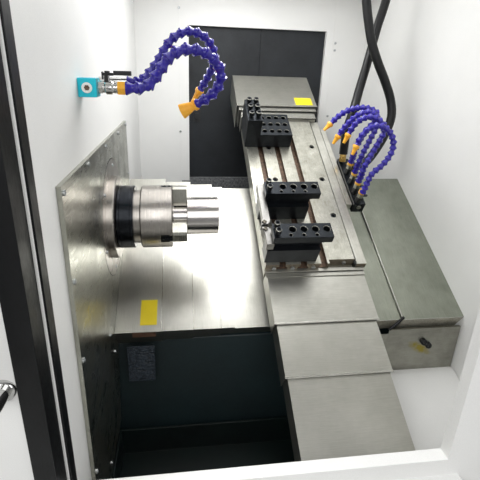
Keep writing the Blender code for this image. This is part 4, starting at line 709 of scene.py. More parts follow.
# A section drawn in s and n runs along x in this frame.
along_x = on_slope @ Matrix(((0, 0, 1, 0), (1, 0, 0, 0), (0, 1, 0, 0), (0, 0, 0, 1)))
prism(notch, [(0.010, -0.200), (0.160, -0.200), (0.160, -0.1295), (0.1185, -0.1295), (0.1185, -0.105),
              (0.010, -0.105)], rail_x + 0.0002, 0.510, along_x)
saddle = piece("saddle_casting", carved(casting, notch), enamel, "saddle", 1.2)
repainted(saddle, stainless_s, lambda at: at.x > rail_x)
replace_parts(saddle, "saddle")
strip = boxes((0.4825, 0.1180, -0.1165), (0.5010, 0.500, -0.0955))
piece("saddle_rail_strip", strip, ground_bright, "saddle", 0.8, on_slope)
ball_screw("x_screw", 1)
servo_motor("x_motor", 1, "saddle")

# Cross covers: the upper ones slide into a fixed box behind the slide, the lower ones step down
# to the front. They are folded stainless sheets too, and the box carries a bare yellow plate.
for node in ("upper_cover_1", "upper_cover_2", "upper_cover_3", "lower_cover_1", "lower_cover_2",
             "lower_cover_3"):
    dressed(node, stainless_x, 0.6)
    low, high = slope_box(node)
    lip, wiper = bmesh.new(), bmesh.new()
    box(lip, (low.x - 0.0012, low.y - 0.0022, high.z - 0.0020),
        (high.x + 0.0012, low.y + 0.003, high.z + 0.0004))
    # The wipers hang deep under the lips, so that their black also stands for the shadow under each lip: part
    # rubber, part painted shade.
    box(wiper, (low.x + 0.001, low.y - 0.0010, high.z - 0.0062),
        (high.x - 0.001, low.y + 0.002, high.z - 0.0016))
    piece(f"{node}_lip", lip, lip_steel_and_highlight, body_of(node), 0.6, on_slope)
    piece(f"{node}_wiper", wiper, nitrile, body_of(node), 0.3, on_slope)
low, high = slope_box("upper_cover_1")
label = boxes((high.x - 0.083, low.y + 0.008, high.z - 0.0002),
              (high.x - 0.015, low.y + 0.055, high.z + 0.0004))
piece("box_warning_plate", label, yellow_film, "saddle", 0, on_slope)

# Cross slide and T-slot plate: the ground slide carries a ground plate with three T-slots, held
# by cap screws. Coolant has left brown oil stains on it and rust in the slots.
# Oily rust: thin brown film on the slot walls. The same brown lines the wall valve plug's socket,
# where it is painted shade.
rust_and_shade = surface("oily_rust_and_socket_shade", "#7B6350", "#372B24", (0.35, 0.65), 0.3, grain_mm=(3, 12, 3), patch_mm=14,
               relief_mm=0.05)
# Oiled iron: brown-grey and dull, on the end faces that the wheel didn't grind.
oiled_iron = surface("oiled_unground_iron", "#8C8271", "#5E564A", (0.42, 0.62), 0.7, patch_mm=16)
slide = dressed("cross_slide", ground_iron, 0.8)
slide_low, slide_high = slope_box("cross_slide")
repainted(slide, oiled_iron, at_near_end(slide_low.y, 0.0004))
# A steel strip lies at the plate's right on the slide. A black strip fills the gap between them as
# painted shade, for the shadow in that gap.
near, far, seat, strip_top = slide_low.y + 0.0015, slide_high.y - 0.0005, slide_high.z + 0.0001, -0.0935
strip = boxes((0.4512, near, seat), (0.4718, far, strip_top),
              (0.4700, near, seat + 0.0012), (0.4800, far, strip_top))
strip = piece("slide_side_strip", strip, ground_bright, "slide", 0.8)
repainted(strip, oiled_iron, lambda at: at.y < near + 0.0005).data.transform(on_slope)
# Painted shade: a black rubber strip on the gap's floor.
shade_strip = boxes((0.4441, near + 0.0005, seat), (0.4513, far - 0.0010, strip_top - 0.0040))
piece("slide_side_painted_shade", shade_strip, nitrile, "slide", 0, on_slope)
# Two sheet lips step down before the slide's near end, each with a rubber wiper hanging under it.
# The wipers' black also stands for the shadow under each lip: part rubber, part painted shade.
lips, wipers_and_shade = bmesh.new(), bmesh.new()
for over, start, end, under, hang in ((0.0010, -0.1330, -0.1150, -0.1134, 0.0024),
                                      (0.0015, -0.1205, -0.1095, -0.1085, 0.0034)):
    left, right = slide_low.x - over, slide_high.x + over
    box(lips, (left, start, under), (right, end, under + 0.0018))
    box(wipers_and_shade, (left + 0.0015, start + 0.0012, under - hang), (right - 0.0015, end, under + 0.0003))
piece("slide_end_lips", lips, stainless_x, "slide", 0.5, on_slope)
piece("slide_end_wipers_and_shade", wipers_and_shade, nitrile, "slide", 0.3, on_slope)
low, high = slope_box("t_slot_plate")
top = high.z
half_slot = [(0.009, top), (0.009, top - 0.012), (0.015, top - 0.012), (0.015, top - 0.022)]
outline = [(low.x, low.z), (high.x, low.z), (high.x, top)]
slot_places = (0.352, 0.293, 0.232)
for x in slot_places:
    outline += [(x + out, n) for out, n in half_slot] + [(x - out, n) for out, n in half_slot[::-1]]
plate, counterbores, bolts = bmesh.new(), bmesh.new(), bmesh.new()
# A section drawn in x and n runs down the slope in this frame, so its heights are minus s.
down_slope = Matrix.Rotation(math.pi / 2, 4, "X")
prism(plate, outline + [(low.x, top)], -high.y, -low.y, down_slope)
# Blackened screws: dark grey. The clamp screws' top rims are drawn in bright steel for the highlight
# there: painted highlight.
black_screw = surface("blackened_screw_steel", "#34373B", "#1D1F22", (0.25, 0.45), 0.8, patch_mm=6)
for x, s in ((0.4225, 0.065), (0.4225, 0.222), (0.4225, 0.386), (0.2625, 0.222), (0.2625, 0.379),
             (0.322, 0.518)):
    turned(counterbores, [(0, -0.0120), (0.0090, -0.0120), (0.0090, -0.0005), (0.0096, 0.0002),
                          (0.0096, 0.01), (0, 0.01)], (x, s, top), (0, 0, 1), 40)
    cap_screw(bolts, (x, s, top - 0.0121), (0, 0, 1), 0.0072, 0.0088)
# The land at the right of the slots ends short of the others.
land_x, short_land = slot_places[0] + 0.0152, low.y + 0.0125
box(counterbores, (land_x, low.y - 0.005, low.z - 0.005), (high.x + 0.005, short_land, top + 0.005))
plate = piece("t_slot_plate_ground", carved(plate, counterbores), ground_iron, "slide", 0.35)
repainted(plate, oiled_iron, lambda at: at.y < low.y + 0.0004 or abs(at.y - short_land) < 0.0004)


def in_slots(at):
    """Whether a face is a wall or floor of a T-slot, away from the plate's ends and sides."""
    return (low.y + 0.002 < at.y < high.y - 0.002 and low.x + 0.03 < at.x < land_x + 0.0008
            and top - 0.0225 < at.z < top - 0.0006)


repainted(plate, rust_and_shade, in_slots).data.transform(on_slope)
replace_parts(plate, "t_slot_plate")
piece("plate_bolts", bolts, black_screw, "slide", 0, on_slope)
end_bolts = bmesh.new()
for x in (0.208, 0.262, 0.322, 0.415):
    cap_screw(end_bolts, (x, short_land if x > 0.4 else low.y, top - 0.0145), (0, -1, 0), 0.0058, 0.0048)
piece("plate_end_bolts", end_bolts, zinc, "slide", 0, on_slope)

# Tool blocks: three steel blocks in black oxide, clamped on the plate. The near two hold a square
# shank under their flange by clamp screws; the far one has a grid of bores for round tools.
def block(name, outline, low_s, high_s, holes, screws, undercut=()):
    """A block of one section along the slope, bored from above and undercut at its near face."""
    blank = bmesh.new()
    prism(blank, outline, -high_s, -low_s, down_slope)
    bmesh.ops.recalc_face_normals(blank, faces=blank.faces)
    bmesh.ops.bevel(blank, geom=list(blank.edges), offset=0.0008, segments=2, profile=0.5, affect="EDGES")
    bores = bmesh.new()
    chamfer = 0.0011
    for x, s, n, radius, depth in holes:
        turned(bores, [(0, -depth - radius * 0.3), (radius, -depth), (radius, -0.0008),
                       (radius + chamfer, 0.0003), (radius + chamfer, 0.01), (0, 0.01)],
               (x, s, n), (0, 0, 1), 40)
    across = [x for x, _ in outline]
    for low_n, high_n in undercut:
        box(bores, (min(across) - 0.01, low_s - 0.01, low_n), (max(across) + 0.01, low_s + 0.014, high_n))
    made = piece(f"{name}_steel", carved(blank, bores), black_oxide, "slide")

    def on_lit_chamfer(at):
        """Whether a face is the chamfer at the mouth of a bore, drawn in bright steel as a painted highlight."""
        return any(n - 0.0008 < at.z < n - 0.00001
                   and radius < math.hypot(at.x - x, at.y - s) < radius + chamfer
                   for x, s, n, radius, _ in holes)

    repainted(made, ground_steel, on_lit_chamfer).data.transform(on_slope)
    made.modifiers.new("flat_faces", "WEIGHTED_NORMAL").keep_sharp = True
    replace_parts(made, name)
    heads, highlight_rims = bmesh.new(), []
    for x, s, n, radius, height in screws:
        highlight_rims.append(n + height)
        shank, collar = radius * 0.62, height * 0.35
        turned(heads, [(0, -0.002), (shank, -0.002), (shank, collar), (radius, collar),
                       (radius, height - 0.0014), (radius - 0.0014, height), (radius * 0.58, height, 6),
                       (radius * 0.54, height - 0.006, 6), (0, height - 0.007)], (x, s, n), (0, 0, 1), 32)
    heads = piece(f"{name}_clamp_screws", heads, black_screw, "slide")
    # Bright steel on the screws' top rims: painted highlight.
    repainted(heads, ground_steel, lambda at: -0.0012 < at.z - highlight_rims[0] < -0.0003).data.transform(on_slope)


# The near blocks hook over the tools' shanks; a hole is (x, s, n, radius, depth) and a screw has
# its height last.
foot, block_top, under_shank, low_top = top + 0.0003, 0.030, -0.0253, -0.030


def block_sides(node):
    """Left, right, near and far side of a block in whole micrometres, which keeps its cuts clean."""
    low, high = slope_box(node)
    return [round(place, 6) for place in (low.x, high.x, low.y, high.y)]


for name in ("tool_block_1", "tool_block_2"):
    left, right, near, far = block_sides(name)
    section = [(left, foot), (right - 0.022, foot), (right - 0.022, 0.006), (right, 0.006),
               (right, block_top), (left + 0.010, block_top), (left + 0.010, 0.009), (left + 0.016, 0.009),
               (left + 0.016, under_shank), (left, under_shank)]
    bores = [(left + 0.0625 + k * 0.031, near + 0.0275, block_top, 0.0095, 0.020) for k in range(4)]
    bores += [(left + 0.055 + k * 0.035, near + 0.009, block_top, 0.0046, 0.012) for k in range(3)]
    clamps = [(left + 0.020, near + along, block_top, 0.008, 0.022) for along in (0.012, 0.034)]
    block(name, section, near, far, bores, clamps, [(-0.028, 0.0055)])
left, right, near, far = block_sides("tool_block_3")
shoulder = left + 0.050
rows = [near + 0.021 + k * 0.038 for k in range(3)]
block("tool_block_3", [(left, foot), (right, foot), (right, low_top), (shoulder, low_top),
                       (shoulder, block_top), (left, block_top)], near, far,
      [(left + 0.068 + k * 0.026, s, low_top, 0.0085, 0.016) for k in range(4) for s in rows],
      [(left + across, s, block_top, 0.009, 0.020) for across in (0.013, 0.037) for s in rows])

# Turning tools: square steel shanks held under the flanges, with a carbide insert screwed in
# the pocket at each nose.
# Nickelled tool steel: pale, satin and slightly uneven.
tool_steel = surface("nickelled_tool_steel", "#8A8986", "#6A6966", (0.30, 0.42), 1.0, patch_mm=20)
# Cemented carbide with a gold-grey coat: smooth and slightly warm.
carbide = surface("coated_carbide", "#57534A", "#3A3731", (0.25, 0.38), 0.8, patch_mm=8)
for number in (1, 2):
    node = f"turning_tool_{number}"
    dressed(node, tool_steel, 0.6)
    low, high = slope_box(node)
    nose = low.y if number == 2 else high.y
    away = 1 if number == 2 else -1
    insert = bmesh.new()
    turned(insert, [(0, 0), (0.0065, 0, 4), (0.0070, 0.0042, 4), (0.0032, 0.0042), (0.0024, 0.0030),
                    (0, 0.0030)], (low.x + 0.0085, nose + away * 0.0085, high.z - 0.0004), (0, 0, 1), 32)
    piece(f"tool_insert_{number}", insert, carbide, "slide", 0, on_slope)

# Coolant manifold: a black steel block on the saddle's side rail with four small valves, each with
# an orange ring and a bright steel sleeve, and the two fittings that take the feed hoses. The
# sleeves' bright steel stands for the highlight on the valves' glossy dark bodies: painted highlight.
rail_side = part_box("coolant_manifold")[0].x
block_x, near_s, block_n = 0.5035, 0.110, -0.086
manifold = boxes((block_x, near_s, block_n - 0.038), (block_x + 0.039, 0.325, block_n))
for s in (0.150, 0.270):
    box(manifold, (rail_side, s - 0.015, -0.150), (block_x + 0.001, s + 0.015, -0.1175))
manifold = piece("coolant_manifold_block", manifold, black_oxide, "saddle", 1.2)
# The block's left face is drawn in dull black plastic, darker than the block, so that it stays dark and mirrors
# nothing: painted shade.
repainted(manifold, black_plastic, lambda at: at.x < block_x + 0.001).data.transform(on_slope)
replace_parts(manifold, "coolant_manifold")
# Orange acetal: bright and slightly translucent at thin edges.
orange = surface("orange_acetal", "#F6B83E", "#E39E2A", (0.25, 0.40), patch_mm=12, subsurface_weight=0.12)
bodies, rings, collars_and_highlight = bmesh.new(), bmesh.new(), bmesh.new()
turned(collars_and_highlight, [(0, -0.0005), (0.0075, -0.0005), (0.0075, 0.0022), (0.0068, 0.0030), (0.0040, 0.0030, 6),
                 (0.0036, 0.0008, 6), (0, 0.0006)], (0.523, near_s, -0.100), (0, -1, 0), 36)
for s in (0.122, 0.163, 0.206, 0.253):
    at = (0.517, s, -0.075)
    turned(bodies, [(0, -0.012), (0.0105, -0.012, 6), (0.0105, 0.010, 6), (0.0085, 0.011), (0.0085, 0.0375),
                    (0, 0.0375)], at)
    turned(collars_and_highlight, [(0.0080, 0.0130), (0.0102, 0.0132, 6), (0.0102, 0.0285, 6), (0.0080, 0.0290)], at)
    turned(rings, [(0.0080, 0.0295), (0.0100, 0.0295), (0.0100, 0.0395), (0.0080, 0.0395)], at)
    turned(bodies, [(0, 0), (0.0042, 0), (0.0042, 0.012), (0.0030, 0.014), (0, 0.014)],
           (0.5265, s, -0.0575), (1, 0, 0), 20)
piece("manifold_valves", bodies, motor_black, "saddle", 0.25, on_slope)
# Bright steel sleeves on the valves: painted highlight.
piece("manifold_valve_collars_and_highlight", collars_and_highlight, ground_steel, "saddle", 0.25, on_slope)
piece("manifold_valve_rings", rings, orange, "saddle", 0.3, on_slope)
# Brass: turned fittings, yellow and a little dulled.
brass = surface("dulled_brass", "#C9A866", "#9C8047", (0.22, 0.40), 1.0, patch_mm=10)
fittings = bmesh.new()
barb = [(0, -0.004), (0.0125, -0.004, 6), (0.0125, 0.009, 6), (0.0105, 0.010), (0.0105, 0.014),
        (0.0120, 0.0145), (0.0105, 0.0218), (0, 0.0218)]
side_end, top_end = (Vector(route[-1]) for route in feed_routes)
turned(fittings, barb, side_end - Vector((0.0223, 0, 0)), (1, 0, 0))
turned(fittings, barb, top_end - Vector((0, 0, 0.0221)), (0, 0, 1))
piece("manifold_fittings", fittings, brass, "saddle", 0.25)
screws = bmesh.new()
for s in (0.130, 0.270):
    cap_screw(screws, (0.535, s, block_n), (0, 0, 1), 0.0042, 0.0038)
piece("manifold_screws", screws, black_screw, "saddle", 0, on_slope)


# Segmented hoses: ball-and-socket links of blue acetal snapped in each other, each with an
# orange nozzle at its end. Four rise from the manifold and two from the wall valve.
def linked_hose(name, node, route, radius, body, flat=False):
    """A hose of separate links along a route, with its nozzle; it holds itself by friction."""
    spine = smooth_route(route, radius * 1.62)
    links = bmesh.new()
    # One link: its share of the pitch, and its radius as a share of the hose's.
    profile = ((-0.06, 0.58), (-0.05, 0.97), (0.00, 1.0), (0.07, 1.0), (0.12, 0.95), (0.50, 0.66),
               (0.66, 0.60), (0.72, 0.64), (0.82, 0.75), (0.96, 0.80), (1.10, 0.70))
    for one, two in zip(spine, spine[1:]):
        sweep(links, [one.lerp(two, t) for t, _ in profile], [radius * r for _, r in profile], 28)
    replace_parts(piece(f"{name}_links", links, acetal, body), node)
    end, way = spine[-1], (spine[-1] - spine[-2]).normalized()
    tip = bmesh.new()
    if flat:
        turned(tip, [(0, 0), (0.72, 0), (0.95, 0.25), (0.95, 0.75), (0.70, 1.0), (0.85, 1.5), (1.15, 2.6),
                     (1.25, 3.15), (0, 3.15)], (0, 0, 0))
        shape = Matrix.Diagonal((radius * 0.55, radius, radius, 1))
    else:
        turned(tip, [(0, 0), (0.72, 0), (0.97, 0.2), (0.97, 0.75), (0.72, 1.0), (0.55, 1.9), (0.40, 3.0),
                     (0.26, 3.0), (0.22, 2.6), (0, 2.6)], (0, 0, 0))
        shape = Matrix.Diagonal((radius, radius, radius, 1))
    seat = Matrix.Translation(end - way * radius * 0.15) @ way.to_track_quat("Z", "Y").to_matrix().to_4x4()
    piece(f"{name}_nozzle", tip, orange, body, 0, seat @ shape)


# Blue acetal: glossy, moulded, deep violet-blue.
acetal = surface("blue_acetal", "#2D219A", "#21177C", (0.16, 0.28), patch_mm=25, subsurface_weight=0.05)
valve_tops = [(0.517, -0.0617, 1.0280), (0.517, -0.0210, 1.0515), (0.517, 0.0162, 1.0730),
              (0.517, 0.0570, 1.0965)]
nozzle_routes = [
    [(0.524, -0.085, 1.090), (0.553, -0.085, 1.118), (0.574, -0.085, 1.150), (0.579, -0.085, 1.182),
     (0.566, -0.085, 1.212), (0.545, -0.085, 1.230), (0.520, -0.085, 1.236), (0.494, -0.085, 1.226),
     (0.476, -0.085, 1.206), (0.465, -0.085, 1.178)],
    [(0.512, -0.055, 1.105), (0.529, -0.050, 1.136), (0.548, -0.045, 1.172), (0.562, -0.045, 1.205),
     (0.560, -0.045, 1.232), (0.538, -0.045, 1.249), (0.512, -0.045, 1.256), (0.486, -0.045, 1.248),
     (0.466, -0.045, 1.230), (0.453, -0.045, 1.204)],
    [(0.514, -0.016, 1.122), (0.529, -0.010, 1.155), (0.547, -0.005, 1.193), (0.561, -0.002, 1.228),
     (0.556, 0.0, 1.252), (0.534, 0.0, 1.265), (0.508, 0.0, 1.262), (0.478, 0.0, 1.243),
     (0.456, 0.0, 1.218), (0.440, 0.0, 1.192)],
    [(0.509, 0.022, 1.140), (0.524, 0.028, 1.172), (0.545, 0.032, 1.208), (0.570, 0.035, 1.236),
     (0.574, 0.036, 1.258), (0.545, 0.036, 1.272), (0.512, 0.036, 1.274), (0.476, 0.034, 1.266),
     (0.446, 0.032, 1.248), (0.422, 0.030, 1.225)],
]
for number, (start, route) in enumerate(zip(valve_tops, nozzle_routes), 1):
    rise = Vector(start) + Vector((0, -0.00875, 0.01516))
    linked_hose(f"nozzle_hose_{number}", f"coolant_hose_{number}", [start, rise] + route, 0.0105, "saddle")
wall_route = [
    (-0.1447, -0.390, 1.338), (-0.1257, -0.390, 1.338), (-0.112, -0.386, 1.340), (-0.100, -0.381, 1.347),
    (-0.086, -0.377, 1.365), (-0.073, -0.372, 1.385), (-0.056, -0.366, 1.403), (-0.030, -0.358, 1.412),
    (0.000, -0.348, 1.409), (0.024, -0.338, 1.396), (0.040, -0.330, 1.374), (0.037, -0.321, 1.345),
    (0.018, -0.312, 1.321), (-0.008, -0.303, 1.305)]
upper_route = [
    (-0.1447, -0.366, 1.349), (-0.1272, -0.366, 1.349), (-0.117, -0.357, 1.353), (-0.099, -0.344, 1.372),
    (-0.083, -0.336, 1.395), (-0.069, -0.332, 1.419), (-0.048, -0.325, 1.439), (-0.022, -0.318, 1.447),
    (0.004, -0.310, 1.440), (0.022, -0.299, 1.422), (0.030, -0.284, 1.399), (0.024, -0.271, 1.374),
    (0.012, -0.258, 1.349), (0.001, -0.249, 1.331)]
linked_hose("wall_hose_1", "left_hose_1", wall_route, 0.0132, "machine", flat=True)
linked_hose("wall_hose_2", "left_hose_2", upper_route, 0.0105, "machine")

# Wall valve: a cyan anodised block on the left wall with a white socket plug in it, a chromed
# ball valve with an orange outlet nut, and the black lever that turns it.
# Cyan anodised aluminium: satin and saturated.
cyan = surface("cyan_anodised_aluminium", "#1CC3D6", "#0FAFC4", (0.28, 0.42), 0.3, patch_mm=20)
# Chrome: mirror-like, a little pitted.
chrome = surface("chromed_brass", "#D6D6D4", "#BEBEBC", (0.05, 0.14), 1.0, patch_mm=30, relief_mm=0.003)
# White plastic: moulded, satin.
white_plastic = surface("white_moulded_plastic", "#F0F0EC", "#E2E2DE", (0.30, 0.45), patch_mm=20)
# The outlets stand where the two hoses start, and the block's centre is the lower one's.
_, valve_y, valve_z = wall_route[0]
outlet_x, plug_x, stem_x = -0.196, -0.213, -0.178
half_block = 0.017
valve_block, plug, socket, fitting, nut, lever = (bmesh.new() for _ in range(6))
box(valve_block, (-0.2297, valve_y - half_block, valve_z - half_block),
    (outlet_x, valve_y + half_block, valve_z + half_block))
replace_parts(piece("wall_valve_block", valve_block, cyan, "machine", 1.2), "coolant_valve")
cap_screw(plug, (plug_x, valve_y - half_block, valve_z), (0, -1, 0), 0.0095, 0.0022)
piece("wall_valve_plug", plug, white_plastic, "machine", 0)
# A brown disc and ring fill the plug's hex socket, so that it looks dark in its depth: painted shade.
turned(socket, [(0.0045, 0), (0.0050, 0), (0.0050, 0.0010), (0.0045, 0.0010)],
       (plug_x, valve_y - 0.0172, valve_z), (0, -1, 0), 40)
turned(socket, [(0, 0), (0.0048, 0), (0.0048, 0.0006), (0, 0.0006)],
       (plug_x, valve_y - 0.0176, valve_z), (0, -1, 0), 6)
piece("wall_valve_plug_socket", socket, rust_and_shade, "machine", 0)
turned(fitting, [(0, -0.002), (0.0118, -0.002, 6), (0.0118, 0.008, 6), (0.0095, 0.009), (0.0095, 0.012),
                 (0.0125, 0.015), (0.0125, 0.026), (0.0100, 0.029), (0.0100, 0.034), (0.0112, 0.0345),
                 (0.0112, 0.0385), (0, 0.0385)], (outlet_x, valve_y, valve_z), (1, 0, 0), 48)
turned(fitting, [(0, -0.002), (0.0080, -0.002), (0.0080, 0.040), (0.0090, 0.0405), (0.0090, 0.0508),
                 (0, 0.0508)], (outlet_x, *upper_route[0][1:]), (1, 0, 0), 40)
turned(fitting, [(0, 0), (0.0065, 0), (0.0065, 0.012), (0.0040, 0.0125), (0.0040, 0.0215), (0, 0.0215)],
       (stem_x, valve_y, valve_z), (0, 0, 1))
piece("wall_valve_body", fitting, chrome, "machine", 0.2)
turned(nut, [(0, -0.002), (0.0128, -0.002, 6), (0.0135, 0, 6), (0.0135, 0.011, 6), (0.0125, 0.0128, 6),
             (0, 0.0128)], (outlet_x + 0.038, valve_y, valve_z), (1, 0, 0), 48)
piece("wall_valve_nut", nut, orange, "machine", 0.3)
low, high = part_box("valve_lever")
box(lever, (low.x, low.y, low.z), (low.x + 0.020, high.y, high.z))
box(lever, (low.x - 0.0015, low.y - 0.0010, low.z - 0.0070),
    (low.x + 0.0005, high.y + 0.0005, high.z + 0.002))
box(lever, (low.x + 0.003, low.y - 0.0012, low.z - 0.0120), (low.x + 0.010, low.y + 0.0006, high.z))
box(lever, (low.x + 0.0195, low.y + 0.0015, low.z + 0.0008), (high.x, high.y - 0.0015, high.z + 0.004))
turned(lever, [(0, 0), (0.0052, 0, 6), (0.0052, 0.0035, 6), (0, 0.0035)], (stem_x, valve_y, high.z - 0.0002))
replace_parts(piece("valve_lever_handle", lever, black_plastic, "valve_lever", 0.9),
            "valve_lever")

# Enclosure: folded sheet casing in off-white, with the doorway's front panel and its door
# tracks, the hood over everything with the hose glands, and the rear panel.
for node, edge in (("front_panel", 1.5), ("enclosure_hood", 2.5), ("rear_panel", 2.5)):
    dressed(node, powder_coat, edge)
wall_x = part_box("left_wall")[1].x
seal = boxes((wall_x, -0.7095, 0.44), (wall_x + 0.0032, -0.6856, 1.62))
piece("doorway_seal", seal, nitrile, "machine", 1.0)
# Charcoal powder coat: the dark band round the foot of the casing and its panels.
charcoal = surface("powder_coat_charcoal", "#3A3F45", "#31363B", (0.38, 0.52), grain_mm=(1.6, 1.6, 1.6),
                   patch_mm=300, relief_mm=0.03)
low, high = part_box("enclosure_hood")
front, side_x, rear_y = low.y, high.x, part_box("rear_panel")[1].y
foot_z, roof_z = low.z, high.z


def side_sheet(bm, sign, inner, outer, low_corner, high_corner):
    """A sheet on a side of the casing, between two distances off its skin and two (y, z) corners."""
    low_x, high_x = sorted(sign * (side_x + off) for off in (inner, outer))
    box(bm, (low_x, *low_corner), (high_x, *high_corner))


panels, bands, louvres, screws, pulls = (bmesh.new() for _ in range(5))
band_low, band_high = foot_z + 0.01, foot_z + 0.21
panel_low, panel_high, panel_skin, inset = band_high + 0.04, roof_z - 0.13, 0.003, 0.02
box(bands, (0.025 - side_x, front - 0.002, band_low), (side_x - 0.025, front + 0.001, band_high))
for sign in (-1, 1):
    side_sheet(bands, sign, 0, 0.002, (front + 0.015, band_low), (rear_y - 0.035, band_high))
    for low_y, high_y in ((front + 0.05, 0.02), (0.06, rear_y - 0.07)):
        side_sheet(panels, sign, 0, panel_skin, (low_y, panel_low), (high_y, panel_high))
        for y in (low_y + inset, high_y - inset):
            for z in (panel_low + inset, (panel_low + panel_high) / 2, panel_high - inset):
                cap_screw(screws, (sign * (side_x + panel_skin), y, z), (sign, 0, 0), 0.006, 0.003)
    for k in range(12):
        z = panel_low + 0.10 + k * 0.028
        side_sheet(louvres, sign, 0.002, 0.007, (low_y + 0.12, z), (high_y - 0.12, z + 0.012))
rear_low, rear_high, rear_skin = foot_z + 0.05, roof_z - 0.05, 0.004
middle = (rear_low + rear_high) / 2
for low_x, high_x in ((0.05 - side_x, -0.02), (0.02, side_x - 0.05)):
    box(panels, (low_x, rear_y, rear_low), (high_x, rear_y + rear_skin, rear_high))
    for x in (low_x + inset, high_x - inset):
        for z in (rear_low + 0.03, middle, rear_high - 0.03):
            cap_screw(screws, (x, rear_y + rear_skin, z), (0, 1, 0), 0.006, 0.003)
    for k in range(10):
        z = middle + 0.38 + k * 0.026
        box(louvres, (low_x + 0.20, rear_y + 0.003, z), (high_x - 0.20, rear_y + 0.008, z + 0.011))
    x = high_x - 0.08
    box(pulls, (x - 0.014, rear_y + 0.003, middle - 0.020), (x + 0.014, rear_y + 0.008, middle + 0.100))
    box(pulls, (x - 0.008, rear_y + 0.007, middle + 0.005), (x + 0.008, rear_y + 0.010, middle + 0.075))
piece("service_panels", panels, powder_coat, "machine", 1.2)
piece("foot_bands", bands, charcoal, "machine", 0.6)
piece("louvres", louvres, charcoal, "machine", 1.5)
piece("panel_screws", screws, zinc, "machine")
piece("cabinet_pulls", pulls, black_plastic, "machine", 1.0)
roof = boxes((-0.30, -0.45, roof_z), (0.70, 0.45, roof_z + 0.003))
piece("roof_cover", roof, powder_coat, "machine", 1.0)
glands = bmesh.new()
for x, y, _ in (route[0] for route in feed_routes):
    turned(glands, [(0.0155, -0.0175), (0.0195, -0.0175), (0.0215, -0.014), (0.0215, -0.008),
                    (0.0235, -0.007, 6), (0.0235, 0.001, 6), (0.0155, 0.001)], (x, y, 1.73), (0, 0, 1), 48)
piece("hose_glands", glands, black_plastic, "machine", 0.3)

# Sliding door: folded sheet on two tracks, open at rest, with a gasketed laminated window and a
# chromed bar handle on two posts.
# Laminated glass: clear, faintly green, with the polycarbonate's soft sheen.
glass = surface("laminated_window_glass", "#DCE6E2", "#CFDCD7", (0.02, 0.05), patch_mm=300, relief_mm=0.002,
                transmission_weight=0.9)
dressed("door", powder_coat, 1.5)
dressed("door_window", glass, 0.3)
low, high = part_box("door_window")
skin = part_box("door")[0].y
over, lap = 0.010, 0.006
gasket = bmesh.new()
for left, bottom, right, top in (
        (low.x - over, low.z - over, low.x + lap, high.z + over),
        (high.x - lap, low.z - over, high.x + over, high.z + over),
        (low.x + lap, low.z - over, high.x - lap, low.z + lap),
        (low.x + lap, high.z - lap, high.x - lap, high.z + over)):
    box(gasket, (left, skin - 0.003, bottom), (right, skin + 0.0005, top))
    box(gasket, (max(left, low.x), skin, max(bottom, low.z)),
        (min(right, high.x), low.y - 0.0002, min(top, high.z)))
piece("window_gasket", gasket, nitrile, "door", 0.8)
low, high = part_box("door")
# A wide black rubber strip on the door's edge, whose black also stands for the dark gap beside the doorway: part
# rubber, part painted shade.
edge_rubber_and_shade = boxes((high.x - 0.0280, low.y - 0.0030, low.z + 0.004),
               (high.x + 0.0035, high.y - 0.002, high.z - 0.004))
piece("door_edge_rubber_and_shade", edge_rubber_and_shade, nitrile, "door", 1.2)
low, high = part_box("door_handle")
x, root = (low.x + high.x) / 2, skin - 0.0003
reach = low.y + 0.011
# Half of the bar as (y, height over its lower end); the upper half mirrors it.
half_bar = [(root, 0.011), (root - 0.02, 0.011), (reach + 0.010, 0.013), (reach + 0.002, 0.021),
            (reach, 0.035)]
bar_route = [(x, y, low.z + rise) for y, rise in half_bar] + [(x, reach, (low.z + high.z) / 2)]
bar_route += [(x, y, high.z - rise) for y, rise in half_bar[::-1]]
grip = bmesh.new()
bar_line = smooth_route(bar_route, 0.004)
sweep(grip, bar_line, [0.0108] * len(bar_line), 28)
for z in (low.z + 0.011, high.z - 0.011):
    turned(grip, [(0, 0), (0.0165, 0), (0.0165, 0.004), (0.0150, 0.006), (0, 0.006)],
           (x, root, z), (0, -1, 0), 40)
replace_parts(piece("door_handle_bar", grip, chrome, "door"), "door_handle")

# Control panel: a swivelling cast box on a hinge pin, with a dark screen, rows of keys, a
# handwheel and the red stop button on its yellow ring.
# Textured enamel: mid grey, finely pebbled.
textured = surface("textured_grey_enamel", "#6A7075", "#5A6065", (0.45, 0.60), grain_mm=(1.2, 1.2, 1.2),
                   patch_mm=150, relief_mm=0.10)
# Screen glass: black, with sharp reflections.
screen_glass = surface("dark_screen_glass", "#10161C", "#0B1015", (0.04, 0.09), patch_mm=200, relief_mm=0.002)
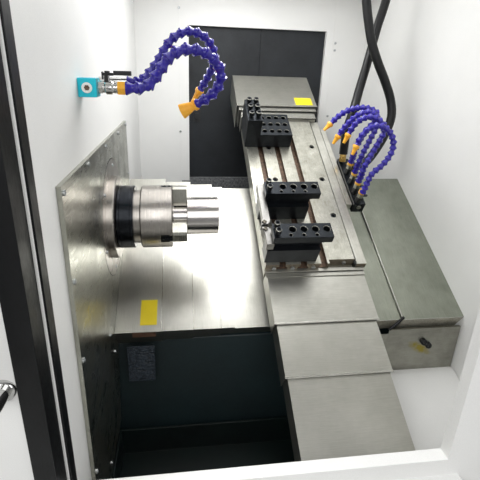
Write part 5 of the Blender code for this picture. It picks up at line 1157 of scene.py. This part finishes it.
# Key plastic: pale grey, satin.
key_plastic = surface("key_plastic", "#D9DAD6", "#C9CAC6", (0.35, 0.50), patch_mm=10)
dressed("control_panel", textured, 1.0)
low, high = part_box("control_panel")
face = low.y
bezel = boxes((low.x + 0.028, face - 0.004, high.z - 0.278), (low.x + 0.352, face + 0.001, high.z - 0.020))
screen = boxes((low.x + 0.040, face - 0.0055, high.z - 0.266), (low.x + 0.340, face - 0.0035, high.z - 0.032))
keys, dark_keys = bmesh.new(), bmesh.new()
top_row, key_pitch, half_key = high.z - 0.314, 0.027, 0.0100
for row in range(4):
    for column in range(9):
        x, z = low.x + 0.118 + column * key_pitch, top_row - row * key_pitch
        target = dark_keys if (row + column) % 5 == 0 else keys
        box(target, (x - half_key, face - 0.0032, z - half_key), (x + half_key, face + 0.0005, z + half_key))
for row in range(3):
    turned(dark_keys, [(0, -0.0005), (0.0125, -0.0005), (0.0120, 0.006), (0, 0.0065)],
           (low.x + 0.060, face, top_row - row * 0.040), (0, -1, 0))
turned(dark_keys, [(0, -0.0005), (0.030, -0.0005), (0.031, 0.001), (0.031, 0.006), (0.026, 0.0095),
                   (0.010, 0.008), (0, 0.008)], (low.x + 0.300, face, low.z + 0.042), (0, -1, 0), 64)
box(dark_keys, (low.x + 0.165, face - 0.005, low.z + 0.026), (low.x + 0.215, face + 0.0005, low.z + 0.058))
piece("screen_bezel", bezel, charcoal, "control_panel", 1.2)
piece("screen", screen, screen_glass, "control_panel", 0.4)
piece("light_keys", keys, key_plastic, "control_panel", 0.8)
piece("dark_keys", dark_keys, black_plastic, "control_panel", 0.8)
button_low, button_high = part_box("stop_button")
middle = (button_low + button_high) / 2
collar = bmesh.new()
turned(collar, [(0.0215, -0.0005), (0.029, -0.0005), (0.029, 0.0012), (0.0275, 0.0022), (0.0215, 0.0022)],
       (middle.x, face, middle.z), (0, -1, 0), 48)
piece("stop_button_ring", collar, yellow_film, "control_panel")
# Red moulded plastic: glossy mushroom head.
red_plastic = surface("red_moulded_plastic", "#C4201E", "#B01816", (0.18, 0.30), patch_mm=15)
head = bmesh.new()
turned(head, [(0, -0.016), (0.011, -0.016), (0.011, 0.0062), (0.0190, 0.0062), (0.0200, 0.0075),
              (0.0196, 0.0100), (0.0165, 0.0130), (0.0100, 0.0144), (0, 0.0145)],
       (middle.x, face, middle.z), (0, -1, 0), 48)
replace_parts(piece("stop_button_head", head, red_plastic, "stop_button"), "stop_button")
